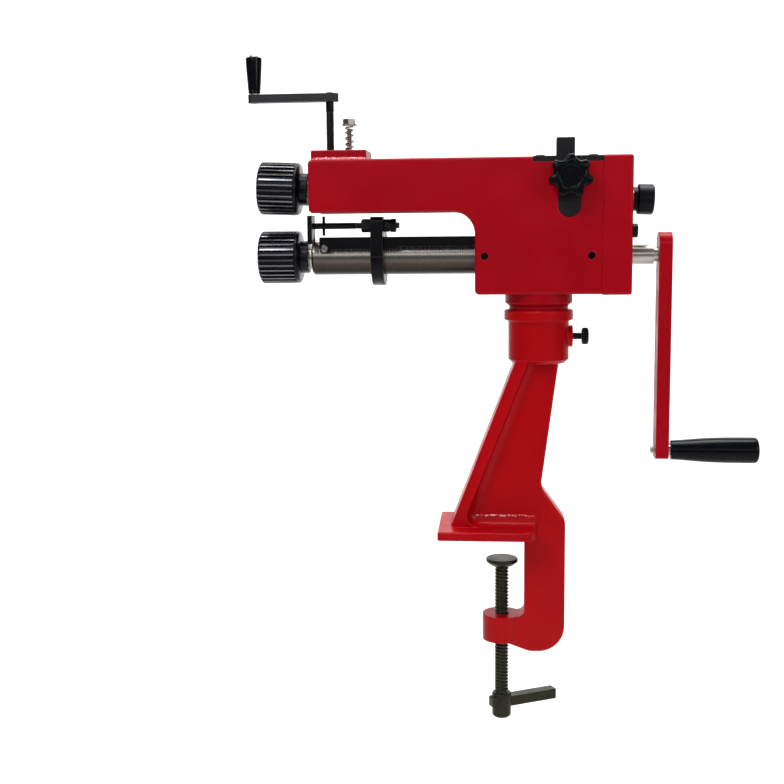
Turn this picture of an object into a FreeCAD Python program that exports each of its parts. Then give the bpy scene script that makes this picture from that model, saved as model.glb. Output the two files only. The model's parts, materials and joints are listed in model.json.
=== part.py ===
import FreeCAD, Part
import math
import os

# A hand-cranked bead roller clamped to a bench edge, in millimetres.
# +X points to the crank, +Y away from the operator's side, +Z up.
# The origin lies on the clamp screw's axis at the bench face, under the foot.

V = FreeCAD.Vector
X_AXIS = V(1, 0, 0)
Y_AXIS = V(0, 1, 0)
Z_AXIS = V(0, 0, 1)

# Main axes. The head's own places are measured from the swivel axis and the lower shaft.
SHAFT_HEIGHT = 312.0
SWIVEL_X = 40.0
ROLL_GAP = 4.2
PIVOT_X = 31.0
PIVOT_RISE = 63.0
REST_TILT = 2.33

# Fits: radial unless said otherwise
CUT_REACH = 60.0
SNUG = 0.02
RUNNING = 0.05
THRUST_GAP = 0.1
SIDE_PLAY = 0.5

# Shafts, sleeves and bushes
SHAFT_R = 11.0
BUSH_R = 13.0
BUSH_LENGTH = 24.0
LOWER_SLEEVE_R = 20.0
UPPER_SLEEVE_R = 17.0
LOWER_SLEEVE_PROUD = 0.8
UPPER_SLEEVE_INSET = 6.5
SLEEVE_REAR_SETBACK = 1.0
SLEEVE_CHAMFER = 2.0

# Rolls
ROLL_R = 29.0
ROLL_WIDTH = 41.0
ROLL_RIBS = 30
RIB_TOP_SHARE = 0.30
RIB_FOOT_SHARE = 0.54
RIB_DEPTH = 2.4
ROLL_CHAMFER = 2.5
HUB_R = 18.0
ROLL_RIM = 4.5
HUB_LENGTH = 9.5
ROLL_RECESS_R = 17.0
ROLL_RECESS_DEPTH = 9.0
ROLL_SCREW_R = 4.0
ROLLS_CLOSED_GAP = 0.6
KEY_SIZE = 6.0
KEY_STAND_OUT = 2.5
ROLL_KEY_LENGTH = 30.0

# Gears and their cover
GEAR_TEETH = 20
GEAR_WIDTH = 14.0
GEAR_SETBACK = 12.0
GEAR_HUB_R = 16.0
GEAR_HUB_LENGTH = 4.5
MESH_GAP = 0.3
TOOTH_BACKLASH = 0.5
PRESSURE_ANGLE = 20.0
COVER_LENGTH = 31.2
COVER_WALL = 5.0
COVER_REAR_WALL = 7.0
COVER_PROUD = 0.8
COVER_SCREW_INSET = 7.5
COVER_SCREW_Z = 26.0
COVER_SCREW_R = 3.0
COVER_SCREW_HEAD_R = 7.5
COVER_SCREW_HEAD = 5.6
COVER_SCREW_DEPTH = 16.0

# Head casting
HEAD_WIDTH = 78.0
HEAD_WALL = 8.0
HOUSING_FRONT = -70.0
HOUSING_REAR = 67.0
HOUSING_TOP = 105.5
HOUSING_BOTTOM = -41.5
HOUSING_FLOOR = 10.0
HOUSING_ROOF = 17.5
ARM_FRONT = -250.5
ARM_BOTTOM = 48.0
THROAT_R = 24.0
CAST_ROUND = 3.0
CORNER_ROUND = 5.0
SILL_CLEARANCE = 6.0
BEARING_BOSS_R = 32.0
BEARING_BOSS_LENGTH = 24.0
NECK_R = 37.0
NECK_LENGTH = 14.0
NECK_CHAMFER = 3.5
NECK_FOOT_R = 32.5
NECK_FOOT_LENGTH = 4.0
SPIGOT_R = 22.0
SPIGOT_LENGTH = 46.0
SET_SCREW_R = 4.0
SET_SCREW_LENGTH = 12.0
SET_SCREW_INSET = 10.5

# Hanger that carries the tilt pivot, and its star knob
HANGER_WIDTH = 23.6
HANGER_THICK = 15.0
HANGER_PLAY = 0.4
HANGER_DROP = 21.8
HANGER_SEAT_DEPTH = 6.0
HANGER_PLATE_THICK = 6.3
SEAT_PLAY = 0.3
HANGER_LUG_WIDTH = 19.4
HANGER_PLATE_REACH = 38.7
HANGER_LUG_SHIFT = 4.5
HANGER_LUG_RISE = 19.6
HANGER_LUG_THICK = 14.0
HANGER_SCREW_R = 4.0
HANGER_SCREW_HEAD_R = 5.8
HANGER_SCREW_HEAD = 3.2
HANGER_SCREW_INSET = 8.5
PIVOT_BLOCK_LENGTH = 40.0
PIVOT_BLOCK_HEIGHT = 42.0
PIVOT_BLOCK_WIDTH = 46.0
PIVOT_PIN_R = 6.0
PIVOT_PIN_GRIP = 9.0
KNOB_OVER_PIVOT = 20.4
KNOB_R = 23.5
KNOB_LOBES = 7
KNOB_LOBE_R = 4.8
KNOB_BODY_R = 18.6
KNOB_VALLEY_R = 2.5
KNOB_RIM = 2.2
KNOB_THICK = 17.0
KNOB_HUB_R = 10.2
KNOB_HUB_LENGTH = 8.0
KNOB_STUD_R = 5.0

# Front plate, adjusting screw and lifting spring
FRONT_PLATE_INSET = 2.0
FRONT_PLATE_LENGTH = 61.0
FRONT_PLATE_WIDTH = 56.0
FRONT_PLATE_THICK = 10.5
ADJUST_INSET = 20.2
ADJUST_R = 4.5
ADJUST_TIP_R = 3.0
ADJUST_TIP_LENGTH = 3.0
ADJUST_BAR_STAND = 64.5
ADJUST_BAR_HEIGHT = 9.0
ADJUST_BAR_DEPTH = 13.0
ADJUST_BAR_TAIL = 9.7
ADJUST_THROW = 84.0
ADJUST_GRIP_R = 9.0
ADJUST_GRIP_FOOT_R = 6.8
ADJUST_GRIP_HEIGHT = 39.0
ADJUST_GRIP_ROUND = 4.0
ADJUST_PIN_R = 3.0
ADJUST_CAP_R = 5.5
ADJUST_CAP_HEIGHT = 4.0
PAD_R = 7.0
PAD_HEIGHT = 6.0
PAD_DOME = 1.2
PAD_GAP = 0.1
SLEEVE_FLAT_RISE = 16.0
LIFT_SPACING = 21.3
LIFT_BOLT_R = 2.75
LIFT_HEAD_STAND = 39.7
LIFT_HEAD_HEIGHT = 6.0
LIFT_HEAD_FLATS = 13.0
LIFT_WASHER_R = 8.4
LIFT_WASHER_THICK = 1.6
LIFT_TIP_WALL = 0.5
LIFT_SLOT_PLAY = 3.4
SPRING_WIRE_R = 0.8
SPRING_MEAN_R = 4.2
SPRING_TURNS = 5.0

# Crank at the rear of the lower shaft
CRANK_STAND = 5.2
CRANK_THICK = 14.5
CRANK_WIDTH = 26.0
CRANK_ABOVE = 24.2
CRANK_THROW = 217.5
CRANK_BELOW_GRIP = 8.5
CRANK_CORNER = 12.8
SHAFT_STEP_OUT = 26.0
SHAFT_NECK_R = 8.0
SQUARE_SIDE = 11.0
SQUARE_LENGTH = 8.0
CRANK_SCREW_R = 4.0
CRANK_SCREW_HEAD_R = 8.0
CRANK_SCREW_LENGTH = 22.0
GRIP_GAP = 3.0
GRIP_LENGTH = 96.0
GRIP_NECK_R = 10.8
GRIP_BELLY_R = 14.5
GRIP_END_ROUND = 3.5
GRIP_BORE_DEPTH = 84.0
GRIP_PIN_R = 4.0
GRIP_PIN_TAIL = 4.4

# Collar at the rear of the upper shaft
COLLAR_GAP = 7.8
COLLAR_LENGTH = 17.6
COLLAR_R = 16.6
COLLAR_NECK_R = 13.0
COLLAR_NECK_LENGTH = 4.5
COLLAR_CHAMFER = 1.5

# Depth fence on the lower sleeve
GUIDE_BACK = 17.0
GUIDE_THICK = 7.5
GUIDE_BOTTOM = 10.8
GUIDE_HEIGHT = 11.0
GUIDE_INSET = 10.3
GUIDE_LUG_LENGTH = 13.0
GUIDE_LIP_LENGTH = 92.0
GUIDE_LIP_DEPTH = 2.4
GUIDE_SOCKET = 14.0
GUIDE_BOLT_INSET = 5.4
GUIDE_BOLT_Z = 9.6
GUIDE_BOLT_R = 2.5
GUIDE_BOLT_HEAD_R = 4.4
GUIDE_BOLT_HEAD = 3.5
FENCE_REACH = 75.4
FENCE_RING_WIDTH = 13.5
FENCE_RING_R = 32.0
FENCE_BOSS_OUT = 33.0
FENCE_BOSS_IN = 9.0
FENCE_BOSS_TOP = 43.7
FENCE_PLAY = 0.4
ROD_R = 3.4
ROD_Y = -21.0
ROD_Z = 34.1
ROD_TAIL = 24.4
NUT_FLATS = 13.0
NUT_FRONT_LENGTH = 10.5
NUT_REAR_LENGTH = 7.0
NUT_REAR_COUNT = 2
FENCE_PLATE_LEAD = 1.1
FENCE_PLATE_THICK = 5.1
FENCE_PLATE_BOTTOM = 14.4
FENCE_PLATE_TOP = 45.6
FENCE_PLATE_OUT = 36.0
FENCE_PLATE_IN = 12.0
CROSS_PIN_INSET = 16.2
CROSS_PIN_R = 1.6
CROSS_PIN_LENGTH = 21.0

# Stand: socket, post, foot and clamp frame
SOCKET_LIP_R = 38.0
SOCKET_LIP_HEIGHT = 11.0
SOCKET_R = 33.5
SOCKET_HEIGHT = 59.0
SOCKET_CHAMFER = 4.0
LOCK_DROP = 30.0
LOCK_BOSS_R = 12.0
LOCK_BOSS_OUT = 4.0
LOCK_SCREW_R = 4.0
LOCK_HEAD_R = 9.4
LOCK_HEAD_LENGTH = 7.6
LOCK_STEM_OUT = 10.0
SLUG_LENGTH = 4.0
SLUG_GAP = 0.1
POST_LEFT_TOP = 14.5
POST_RIGHT_TOP = 62.4
POST_LEFT_FOOT = -57.7
POST_WAIST_X = 43.3
POST_WAIST_Z = 54.0
FLARE_FOOT_Z = 15.0
PLATE_THICK = 30.0
RIM_WIDTH = 56.0
POST_RIM = 12.0
COVE_R = 12.0
COVE_CORNER = 14.0
FOOT_LEFT = -71.4
FOOT_THICK = 9.5
FOOT_WIDTH = 104.0
FOOT_OVERHANG = 12.0
FOOT_EDGE_ROUND = 2.5
FOOT_CORNER_LEFT = 4.0
FOOT_CORNER_RIGHT = 16.0
BENCH_STOP_X = 25.3
SPINE_RIGHT = 71.0
FRAME_BOTTOM = -138.2
JAW_TOP = -97.0
JAW_THICK = 30.0
JAW_BOSS_R = 22.0
HEEL_ROUND = 30.0
SCREW_R = 8.0
PAD_TOP = -32.0
CLAMP_PAD_R = 18.0
CLAMP_PAD_THICK = 8.0
CLAMP_NOSE_R = 5.0
CLAMP_NOSE_LENGTH = 5.0
CLAMP_HUB_R = 11.0
CLAMP_HUB_TOP = -192.0
CLAMP_HUB_HEIGHT = 29.0
TEE_SIDE = 12.0
TEE_ANGLE = 27.0
TEE_RIGHT = 69.5
TEE_LEFT = 14.0
TEE_DROP = 11.0

# Places that follow from the sizes above
LOWER_SLEEVE_FRONT = ARM_FRONT - LOWER_SLEEVE_PROUD
UPPER_SLEEVE_FRONT = ARM_FRONT + UPPER_SLEEVE_INSET
ROLL_X = LOWER_SLEEVE_FRONT - ROLL_GAP - HUB_LENGTH - ROLL_RIM - ROLL_WIDTH / 2
FRONT_PLATE_LEFT = ARM_FRONT + FRONT_PLATE_INSET
ADJUST_X = ARM_FRONT + ADJUST_INSET
LIFT_X = ADJUST_X + LIFT_SPACING
GUIDE_FRONT = LOWER_SLEEVE_FRONT + GUIDE_INSET
GUIDE_BOLT_X = GUIDE_FRONT + GUIDE_BOLT_INSET
FENCE_PLATE_X = LOWER_SLEEVE_FRONT - FENCE_PLATE_LEAD
CROSS_PIN_X = FENCE_PLATE_X + CROSS_PIN_INSET
FENCE_RING_X = FENCE_PLATE_X + FENCE_REACH
ROD_REAR = FENCE_RING_X + ROD_TAIL
GEAR_X = HOUSING_REAR + GEAR_SETBACK
COVER_REAR = HOUSING_REAR + COVER_LENGTH
COLLAR_LEFT = COVER_REAR + COLLAR_GAP
SHAFT_STEP_X = COVER_REAR + SHAFT_STEP_OUT
CRANK_LEFT = SHAFT_STEP_X + CRANK_STAND
COVER_SCREW_Y = HEAD_WIDTH / 2 - COVER_SCREW_INSET
HANGER_LUG_X = PIVOT_X - HANGER_LUG_SHIFT
HANGER_PLATE_LEFT = PIVOT_X - HANGER_PLATE_REACH
HANGER_LUG_TOP = HOUSING_TOP + HANGER_LUG_RISE
HANGER_BOTTOM_RISE = PIVOT_RISE - HANGER_DROP
KNOB_RISE = PIVOT_RISE + KNOB_OVER_PIVOT
LIFT_HEAD_BOTTOM = HOUSING_TOP + LIFT_HEAD_STAND
ADJUST_BAR_BOTTOM = HOUSING_TOP + ADJUST_BAR_STAND


def block(x0, x1, y0, y1, z0, z1):
    """Box between two corners."""
    return Part.makeBox(x1 - x0, y1 - y0, z1 - z0, V(x0, y0, z0))


def rod(radius, length, start, along):
    """Round bar from its start point."""
    return Part.makeCylinder(radius, length, V(*start), along)


def hex_bar(flats, length, start, along):
    """Hexagonal bar with the given width across flats."""
    radius = flats / math.sqrt(3.0)
    corners = [
        V(radius * math.cos(math.pi * i / 3), radius * math.sin(math.pi * i / 3), 0)
        for i in range(7)
    ]
    bar = Part.Face(Part.makePolygon(corners)).extrude(V(0, 0, length))
    bar.Placement = FreeCAD.Placement(V(*start), FreeCAD.Rotation(Z_AXIS, along))
    return bar


def rounded_outline(corners):
    """Closed outline in the XZ plane from (x, z, corner radius) triples."""
    arcs = []
    for i, (x, z, radius) in enumerate(corners):
        here = V(x, 0, z)
        before = V(corners[i - 1][0], 0, corners[i - 1][1]) - here
        after_corner = corners[(i + 1) % len(corners)]
        after = V(after_corner[0], 0, after_corner[1]) - here
        before.normalize()
        after.normalize()
        if radius == 0:
            arcs.append((here, None, here))
            continue
        half = before.getAngle(after) / 2
        trim = radius / math.tan(half)
        inward = before + after
        inward.normalize()
        middle = here + inward * (radius / math.sin(half) - radius)
        arcs.append((here + before * trim, middle, here + after * trim))
    edges = []
    for i, (start, middle, end) in enumerate(arcs):
        if middle is not None:
            edges.append(Part.Arc(start, middle, end).toShape())
        following = arcs[(i + 1) % len(arcs)][0]
        if end.distanceToPoint(following) > 1e-6:
            edges.append(Part.makeLine(end, following))
    return Part.Wire(edges)


def slab(corners, y0, y1):
    """The outline extruded from y0 to y1."""
    face = Part.Face(rounded_outline(corners))
    face.translate(V(0, y0, 0))
    return face.extrude(V(0, y1 - y0, 0))


def turned(profile, start, along):
    """Solid of revolution from (distance along the axis, radius) points."""
    points = [V(profile[0][0], 0, 0)]
    points += [V(distance, 0, radius) for distance, radius in profile]
    points.append(V(profile[-1][0], 0, 0))
    points.append(points[0])
    solid = Part.Face(Part.makePolygon(points)).revolve(V(0, 0, 0), X_AXIS, 360)
    solid.Placement = FreeCAD.Placement(V(*start), FreeCAD.Rotation(X_AXIS, along))
    return solid


def soft_turned(profile, end_round, start, along):
    """Solid of revolution, a smooth curve through the points and then a rounded end."""
    points = [V(distance, 0, radius) for distance, radius in profile]
    curve = Part.BSplineCurve()
    curve.interpolate(points)
    distance, radius = profile[-1]
    corner = V(distance, 0, radius - end_round)
    share = math.sqrt(0.5) * end_round
    shoulder = Part.Arc(points[-1], corner + V(share, 0, share), corner + V(end_round, 0, 0))
    first = V(profile[0][0], 0, 0)
    last = V(distance + end_round, 0, 0)
    edges = [
        Part.makeLine(first, points[0]),
        curve.toShape(),
        shoulder.toShape(),
        Part.makeLine(corner + V(end_round, 0, 0), last),
        Part.makeLine(last, first),
    ]
    solid = Part.Face(Part.Wire(edges)).revolve(V(0, 0, 0), X_AXIS, 360)
    solid.Placement = FreeCAD.Placement(V(*start), FreeCAD.Rotation(X_AXIS, along))
    return solid


def round_side_edges(solid, half_width, radius, keep):
    """Round the edges that lie on the two side faces and pass the keep test."""
    edges = []
    for edge in solid.Edges:
        on_side = all(abs(abs(v.Y) - half_width) < 1e-6 for v in edge.Vertexes)
        if on_side and keep(edge.CenterOfMass):
            edges.append(edge)
    return solid.makeFillet(radius, edges)


def on_head(solid):
    """Lift a solid drawn about the swivel axis and lower shaft onto the stand."""
    solid.translate(V(SWIVEL_X, 0, SHAFT_HEIGHT))
    return solid


def on_upper_line(solid):
    """Raise the front of a solid drawn along the level upper line, then lift it."""
    solid.rotate(V(PIVOT_X, 0, PIVOT_RISE), Y_AXIS, REST_TILT)
    return on_head(solid)


def upper_line_height(x):
    """Height of the upper shaft's axis at rest, above the lower shaft."""
    return PIVOT_RISE + (PIVOT_X - x) * math.tan(math.radians(REST_TILT))


def closed_line_height(x):
    """Height of the upper shaft's axis with the rolls closed."""
    fall = (PIVOT_RISE - 2 * ROLL_R - ROLLS_CLOSED_GAP) / (PIVOT_X - ROLL_X)
    return PIVOT_RISE - (PIVOT_X - x) * fall


# Stand and clamp

SOCKET_TOP = SHAFT_HEIGHT + HOUSING_BOTTOM - NECK_LENGTH - NECK_FOOT_LENGTH - THRUST_GAP
SOCKET_BOTTOM = SOCKET_TOP - SOCKET_HEIGHT
LOCK_Z = SOCKET_TOP - LOCK_DROP
SPIGOT_END = SHAFT_HEIGHT + HOUSING_BOTTOM - NECK_LENGTH - NECK_FOOT_LENGTH - SPIGOT_LENGTH


def post_left_at(z):
    """X of the post's sloping front edge at a height."""
    slope = (POST_LEFT_TOP - POST_LEFT_FOOT) / (SOCKET_BOTTOM - FOOT_THICK)
    return POST_LEFT_FOOT + (z - FOOT_THICK) * slope


def clamp_frame():
    """Post plate, spine and lower jaw as one outline, rounded along its outer sides."""
    jaw_bottom = JAW_TOP - JAW_THICK
    corners = [
        (POST_LEFT_TOP, SOCKET_BOTTOM + SOCKET_CHAMFER, 0),
        (POST_LEFT_FOOT, FOOT_THICK, 0),
        (POST_LEFT_FOOT, 0, 0),
        (BENCH_STOP_X, 0, 0),
        (BENCH_STOP_X, JAW_TOP, 8),
        (0, JAW_TOP, 0),
        (0, jaw_bottom, 0),
        (SPINE_RIGHT - HEEL_ROUND - 10, FRAME_BOTTOM, 15),
        (SPINE_RIGHT, FRAME_BOTTOM, HEEL_ROUND),
        (SPINE_RIGHT, FLARE_FOOT_Z, 14),
        (POST_WAIST_X, POST_WAIST_Z, 16),
        (POST_RIGHT_TOP, SOCKET_BOTTOM + SOCKET_CHAMFER, 0),
    ]
    half = PLATE_THICK / 2

    def is_outside(middle):
        return middle.x > SWIVEL_X or middle.z < jaw_bottom - 1

    return round_side_edges(slab(corners, -half, half), half, CAST_ROUND, is_outside)


def post_rim():
    """Rim down the post's front edge that runs in a cove into the plate and the foot."""
    top = SOCKET_BOTTOM + SOCKET_CHAMFER
    foot_right = BENCH_STOP_X + FOOT_OVERHANG
    half = RIM_WIDTH / 2
    corners = [
        (POST_LEFT_TOP, top, 0),
        (POST_LEFT_FOOT, FOOT_THICK, 0),
        (foot_right, FOOT_THICK, 0),
        (POST_LEFT_TOP + 2 * POST_RIM, top, 0),
    ]

    def is_front(middle):
        return middle.x < post_left_at(middle.z) + 1

    rim = round_side_edges(slab(corners, -half, half), half, CAST_ROUND, is_front)
    return rim.cut([cove_cutter(1), cove_cutter(-1)])


def cove_cutter(side):
    """What is taken from one side of the rim, with rounded edges that leave the cove."""
    top = SOCKET_TOP
    floor = PLATE_THICK / 2
    far_right = SPINE_RIGHT + RIM_WIDTH
    corners = [
        (post_left_at(top) + POST_RIM, top, 0),
        (post_left_at(FOOT_THICK) + POST_RIM, FOOT_THICK, COVE_CORNER),
        (far_right, FOOT_THICK, 0),
        (far_right, top, 0),
    ]
    tool = slab(corners, floor, RIM_WIDTH)
    edges = [e for e in tool.Edges if all(abs(v.Y - floor) < 1e-6 for v in e.Vertexes)]
    inner = [e for e in edges if e.CenterOfMass.x < far_right - 1 and e.CenterOfMass.z < top - 1]
    tool = tool.makeFillet(COVE_R, inner)
    if side < 0:
        tool = tool.mirror(V(0, 0, 0), Y_AXIS)
    return tool


def foot_plate():
    """Foot plate with rounded corners and top edges."""
    half = FOOT_WIDTH / 2
    right = BENCH_STOP_X + FOOT_OVERHANG
    foot = block(FOOT_LEFT, right, -half, half, 0, FOOT_THICK)
    for end, radius in ((FOOT_LEFT, FOOT_CORNER_LEFT), (right, FOOT_CORNER_RIGHT)):
        uprights = [
            e for e in foot.Edges
            if abs(e.Vertexes[0].Z - e.Vertexes[-1].Z) > 1 and abs(e.CenterOfMass.x - end) < 1e-6
        ]
        foot = foot.makeFillet(radius, uprights)
    rims = [e for e in foot.Edges if all(abs(v.Z - FOOT_THICK) < 1e-6 for v in e.Vertexes)]
    return foot.makeFillet(FOOT_EDGE_ROUND, rims)


def socket():
    """Round socket with its lip, and the boss of the lock screw."""
    profile = [
        (0, SOCKET_R - SOCKET_CHAMFER),
        (SOCKET_CHAMFER, SOCKET_R),
        (SOCKET_HEIGHT - SOCKET_LIP_HEIGHT - 2, SOCKET_R),
        (SOCKET_HEIGHT - SOCKET_LIP_HEIGHT, SOCKET_LIP_R),
        (SOCKET_HEIGHT - 1.5, SOCKET_LIP_R),
        (SOCKET_HEIGHT, SOCKET_LIP_R - 1.5),
    ]
    body = turned(profile, (SWIVEL_X, 0, SOCKET_BOTTOM), Z_AXIS)
    boss = rod(LOCK_BOSS_R, SOCKET_R + LOCK_BOSS_OUT, (SWIVEL_X, 0, LOCK_Z), X_AXIS)
    return body.fuse(boss)


def stand_casting():
    """Socket, post, foot plate and clamp frame in one casting."""
    jaw_end = rod(JAW_BOSS_R, JAW_THICK, (0, 0, JAW_TOP - JAW_THICK), Z_AXIS)
    body = clamp_frame().fuse([post_rim(), foot_plate(), jaw_end, socket()])
    spigot_bore = rod(
        SPIGOT_R + RUNNING, SOCKET_TOP - SPIGOT_END + 4, (SWIVEL_X, 0, SPIGOT_END - 2), Z_AXIS
    )
    screw_bore = rod(SCREW_R + RUNNING, JAW_THICK + 20, (0, 0, JAW_TOP - JAW_THICK - 10), Z_AXIS)
    lock_bore = rod(LOCK_SCREW_R + RUNNING, SOCKET_LIP_R * 2, (SWIVEL_X, 0, LOCK_Z), X_AXIS)
    return body.cut([spigot_bore, screw_bore, lock_bore]).removeSplitter()


def clamp_pad():
    """Swivelling pad on the nose of the clamp screw."""
    profile = [
        (0, CLAMP_PAD_R - 5),
        (CLAMP_PAD_THICK - 4, CLAMP_PAD_R),
        (CLAMP_PAD_THICK - 0.8, CLAMP_PAD_R),
        (CLAMP_PAD_THICK, CLAMP_PAD_R - 0.8),
    ]
    pad = turned(profile, (0, 0, PAD_TOP - CLAMP_PAD_THICK), Z_AXIS)
    socket_depth = CLAMP_NOSE_LENGTH + THRUST_GAP
    hole = rod(CLAMP_NOSE_R + RUNNING, socket_depth, (0, 0, PAD_TOP - CLAMP_PAD_THICK), Z_AXIS)
    return pad.cut(hole)


def clamp_screw():
    """Clamp screw with its nose and the hub that holds the tee bar."""
    bottom = CLAMP_HUB_TOP - CLAMP_HUB_HEIGHT
    shoulder = PAD_TOP - CLAMP_PAD_THICK - THRUST_GAP
    profile = [
        (0, CLAMP_HUB_R - 2),
        (2, CLAMP_HUB_R),
        (CLAMP_HUB_HEIGHT - 1, CLAMP_HUB_R),
        (CLAMP_HUB_HEIGHT, CLAMP_HUB_R - 1),
        (CLAMP_HUB_HEIGHT, SCREW_R),
        (shoulder - bottom, SCREW_R),
        (shoulder - bottom, CLAMP_NOSE_R),
        (shoulder - bottom + CLAMP_NOSE_LENGTH, CLAMP_NOSE_R),
    ]
    return turned(profile, (0, 0, bottom), Z_AXIS).cut(tee_prism(TEE_SIDE + 2 * SNUG, 40, 40))


def tee_prism(side, left, right):
    """Square bar through the hub, turned away from the row axes."""
    centre = CLAMP_HUB_TOP - TEE_DROP
    bar = block(-left, right, -side / 2, side / 2, centre - side / 2, centre + side / 2)
    bar.rotate(V(0, 0, 0), Z_AXIS, TEE_ANGLE)
    return bar


def clamp_tee_bar():
    """Square steel bar pressed through the hub, with broken end edges."""
    bar = tee_prism(TEE_SIDE, TEE_LEFT, TEE_RIGHT)
    ends = [f for f in bar.Faces if f.Area < TEE_SIDE * TEE_SIDE * 1.01]
    edges = [edge for face in ends for edge in face.Edges]
    return bar.makeChamfer(1.2, edges)


def lock_slug():
    """Brass slug between the lock screw and the spigot."""
    slug = rod(LOCK_SCREW_R, SLUG_LENGTH, (SWIVEL_X + SPIGOT_R + SLUG_GAP, 0, LOCK_Z), X_AXIS)
    relief = rod(SPIGOT_R + SLUG_GAP, 4 * LOCK_SCREW_R, (SWIVEL_X, 0, LOCK_Z - 2 * LOCK_SCREW_R), Z_AXIS)
    return slug.cut(relief)


def lock_screw():
    """Thumb screw that locks the swivel, with a waisted round head."""
    start = SPIGOT_R + SLUG_GAP + SLUG_LENGTH + THRUST_GAP
    seat = SOCKET_R + LOCK_BOSS_OUT
    neck = seat + LOCK_STEM_OUT - start
    profile = [
        (0, LOCK_SCREW_R - 0.6),
        (0.6, LOCK_SCREW_R),
        (neck, LOCK_SCREW_R),
        (neck, LOCK_HEAD_R - 1.4),
        (neck + 1.4, LOCK_HEAD_R),
        (neck + LOCK_HEAD_LENGTH - 1.4, LOCK_HEAD_R),
        (neck + LOCK_HEAD_LENGTH, LOCK_HEAD_R - 1.4),
    ]
    screw = turned(profile, (SWIVEL_X + start, 0, LOCK_Z), X_AXIS)
    grooves = []
    for i in range(12):
        place = (SWIVEL_X + start + neck - 1, LOCK_HEAD_R + 0.3, LOCK_Z)
        groove = rod(1.0, LOCK_HEAD_LENGTH + 2, place, X_AXIS)
        groove.rotate(V(SWIVEL_X, 0, LOCK_Z), X_AXIS, 30 * i)
        grooves.append(groove)
    return screw.cut(grooves)


# Head casting and what is fixed to it

ROOF_Z = HOUSING_TOP - HEAD_WALL
SILL_Z = PIVOT_RISE - UPPER_SLEEVE_R - SILL_CLEARANCE
INNER_HALF = HEAD_WIDTH / 2 - HEAD_WALL
HANGER_SEAT_Z = HOUSING_TOP - HANGER_SEAT_DEPTH
HANGER_IN = PIVOT_BLOCK_WIDTH / 2 + SIDE_PLAY
HANGER_OUT = HANGER_IN + HANGER_THICK


def head_shell():
    """The housing and arm as one outline, hollowed out."""
    half = HEAD_WIDTH / 2
    corners = [
        (ARM_FRONT, ARM_BOTTOM, CORNER_ROUND),
        (HOUSING_FRONT, ARM_BOTTOM, THROAT_R),
        (HOUSING_FRONT, HOUSING_BOTTOM, CORNER_ROUND),
        (HOUSING_REAR, HOUSING_BOTTOM, 0),
        (HOUSING_REAR, HOUSING_TOP, 0),
        (ARM_FRONT, HOUSING_TOP, CORNER_ROUND),
    ]
    shell = slab(corners, -half, half)

    def not_rear(middle):
        return middle.x < HOUSING_REAR - 1

    shell = round_side_edges(shell, half, CAST_ROUND, not_rear)
    wall_end = HOUSING_FRONT + HEAD_WALL
    arm_hollow = block(ARM_FRONT - 1, HOUSING_FRONT, -INNER_HALF, INNER_HALF, SILL_Z, ROOF_Z)
    link_top = HOUSING_TOP - HOUSING_ROOF
    link = block(HOUSING_FRONT - 1, wall_end + 1, -INNER_HALF, INNER_HALF, SILL_Z, link_top)
    room = block(
        wall_end, HOUSING_REAR + 1, -INNER_HALF, INNER_HALF,
        HOUSING_BOTTOM + HOUSING_FLOOR, HOUSING_TOP - HOUSING_ROOF,
    )
    return shell.cut([arm_hollow, link, room])


def bearing_boss(x):
    """Boss inside the housing that holds one end of the lower sleeve."""
    boss = rod(BEARING_BOSS_R, BEARING_BOSS_LENGTH, (x, 0, 0), X_AXIS)
    half = HEAD_WIDTH / 2 - 1
    limit = block(x, x + BEARING_BOSS_LENGTH, -half, half, HOUSING_BOTTOM + 1, BEARING_BOSS_R)
    return boss.common(limit)


def neck():
    """Neck under the housing, with the spigot that turns in the socket."""
    depth = NECK_LENGTH + NECK_FOOT_LENGTH + SPIGOT_LENGTH
    profile = [
        (0, SPIGOT_R - 1.5),
        (1.5, SPIGOT_R),
        (SPIGOT_LENGTH, SPIGOT_R),
        (SPIGOT_LENGTH, NECK_FOOT_R),
        (SPIGOT_LENGTH + NECK_FOOT_LENGTH, NECK_FOOT_R),
        (SPIGOT_LENGTH + NECK_FOOT_LENGTH + NECK_CHAMFER, NECK_R),
        (depth + 2, NECK_R),
    ]
    return turned(profile, (0, 0, HOUSING_BOTTOM - depth), Z_AXIS)


def cover_screw_bosses(x, length, radius):
    """Round bars at the two cover screws."""
    sides = (-COVER_SCREW_Y, COVER_SCREW_Y)
    return [rod(radius, length, (x, y, COVER_SCREW_Z), X_AXIS) for y in sides]


def guide_prism(front, rear, play):
    """The guide bar's straight run, grown by a play all round."""
    return block(
        front, rear, -GUIDE_BACK - GUIDE_THICK - play, -GUIDE_BACK + play,
        GUIDE_BOTTOM - play, GUIDE_BOTTOM + GUIDE_HEIGHT + play,
    )


def set_screw_places():
    """X of the two screws that hold the lower sleeve."""
    return (HOUSING_FRONT + SET_SCREW_INSET, HOUSING_REAR - SET_SCREW_INSET - 1.5)


def lift_slot(bottom, top):
    """Long hole that lets the lifting bolt lean as the sleeve tilts."""
    width = LIFT_BOLT_R + RUNNING + 0.6
    middle = block(
        LIFT_X - LIFT_SLOT_PLAY, LIFT_X + LIFT_SLOT_PLAY, -width, width, bottom, top
    )
    ends = [rod(width, top - bottom, (LIFT_X + s * LIFT_SLOT_PLAY, 0, bottom), Z_AXIS) for s in (-1, 1)]
    return middle.fuse(ends)


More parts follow.
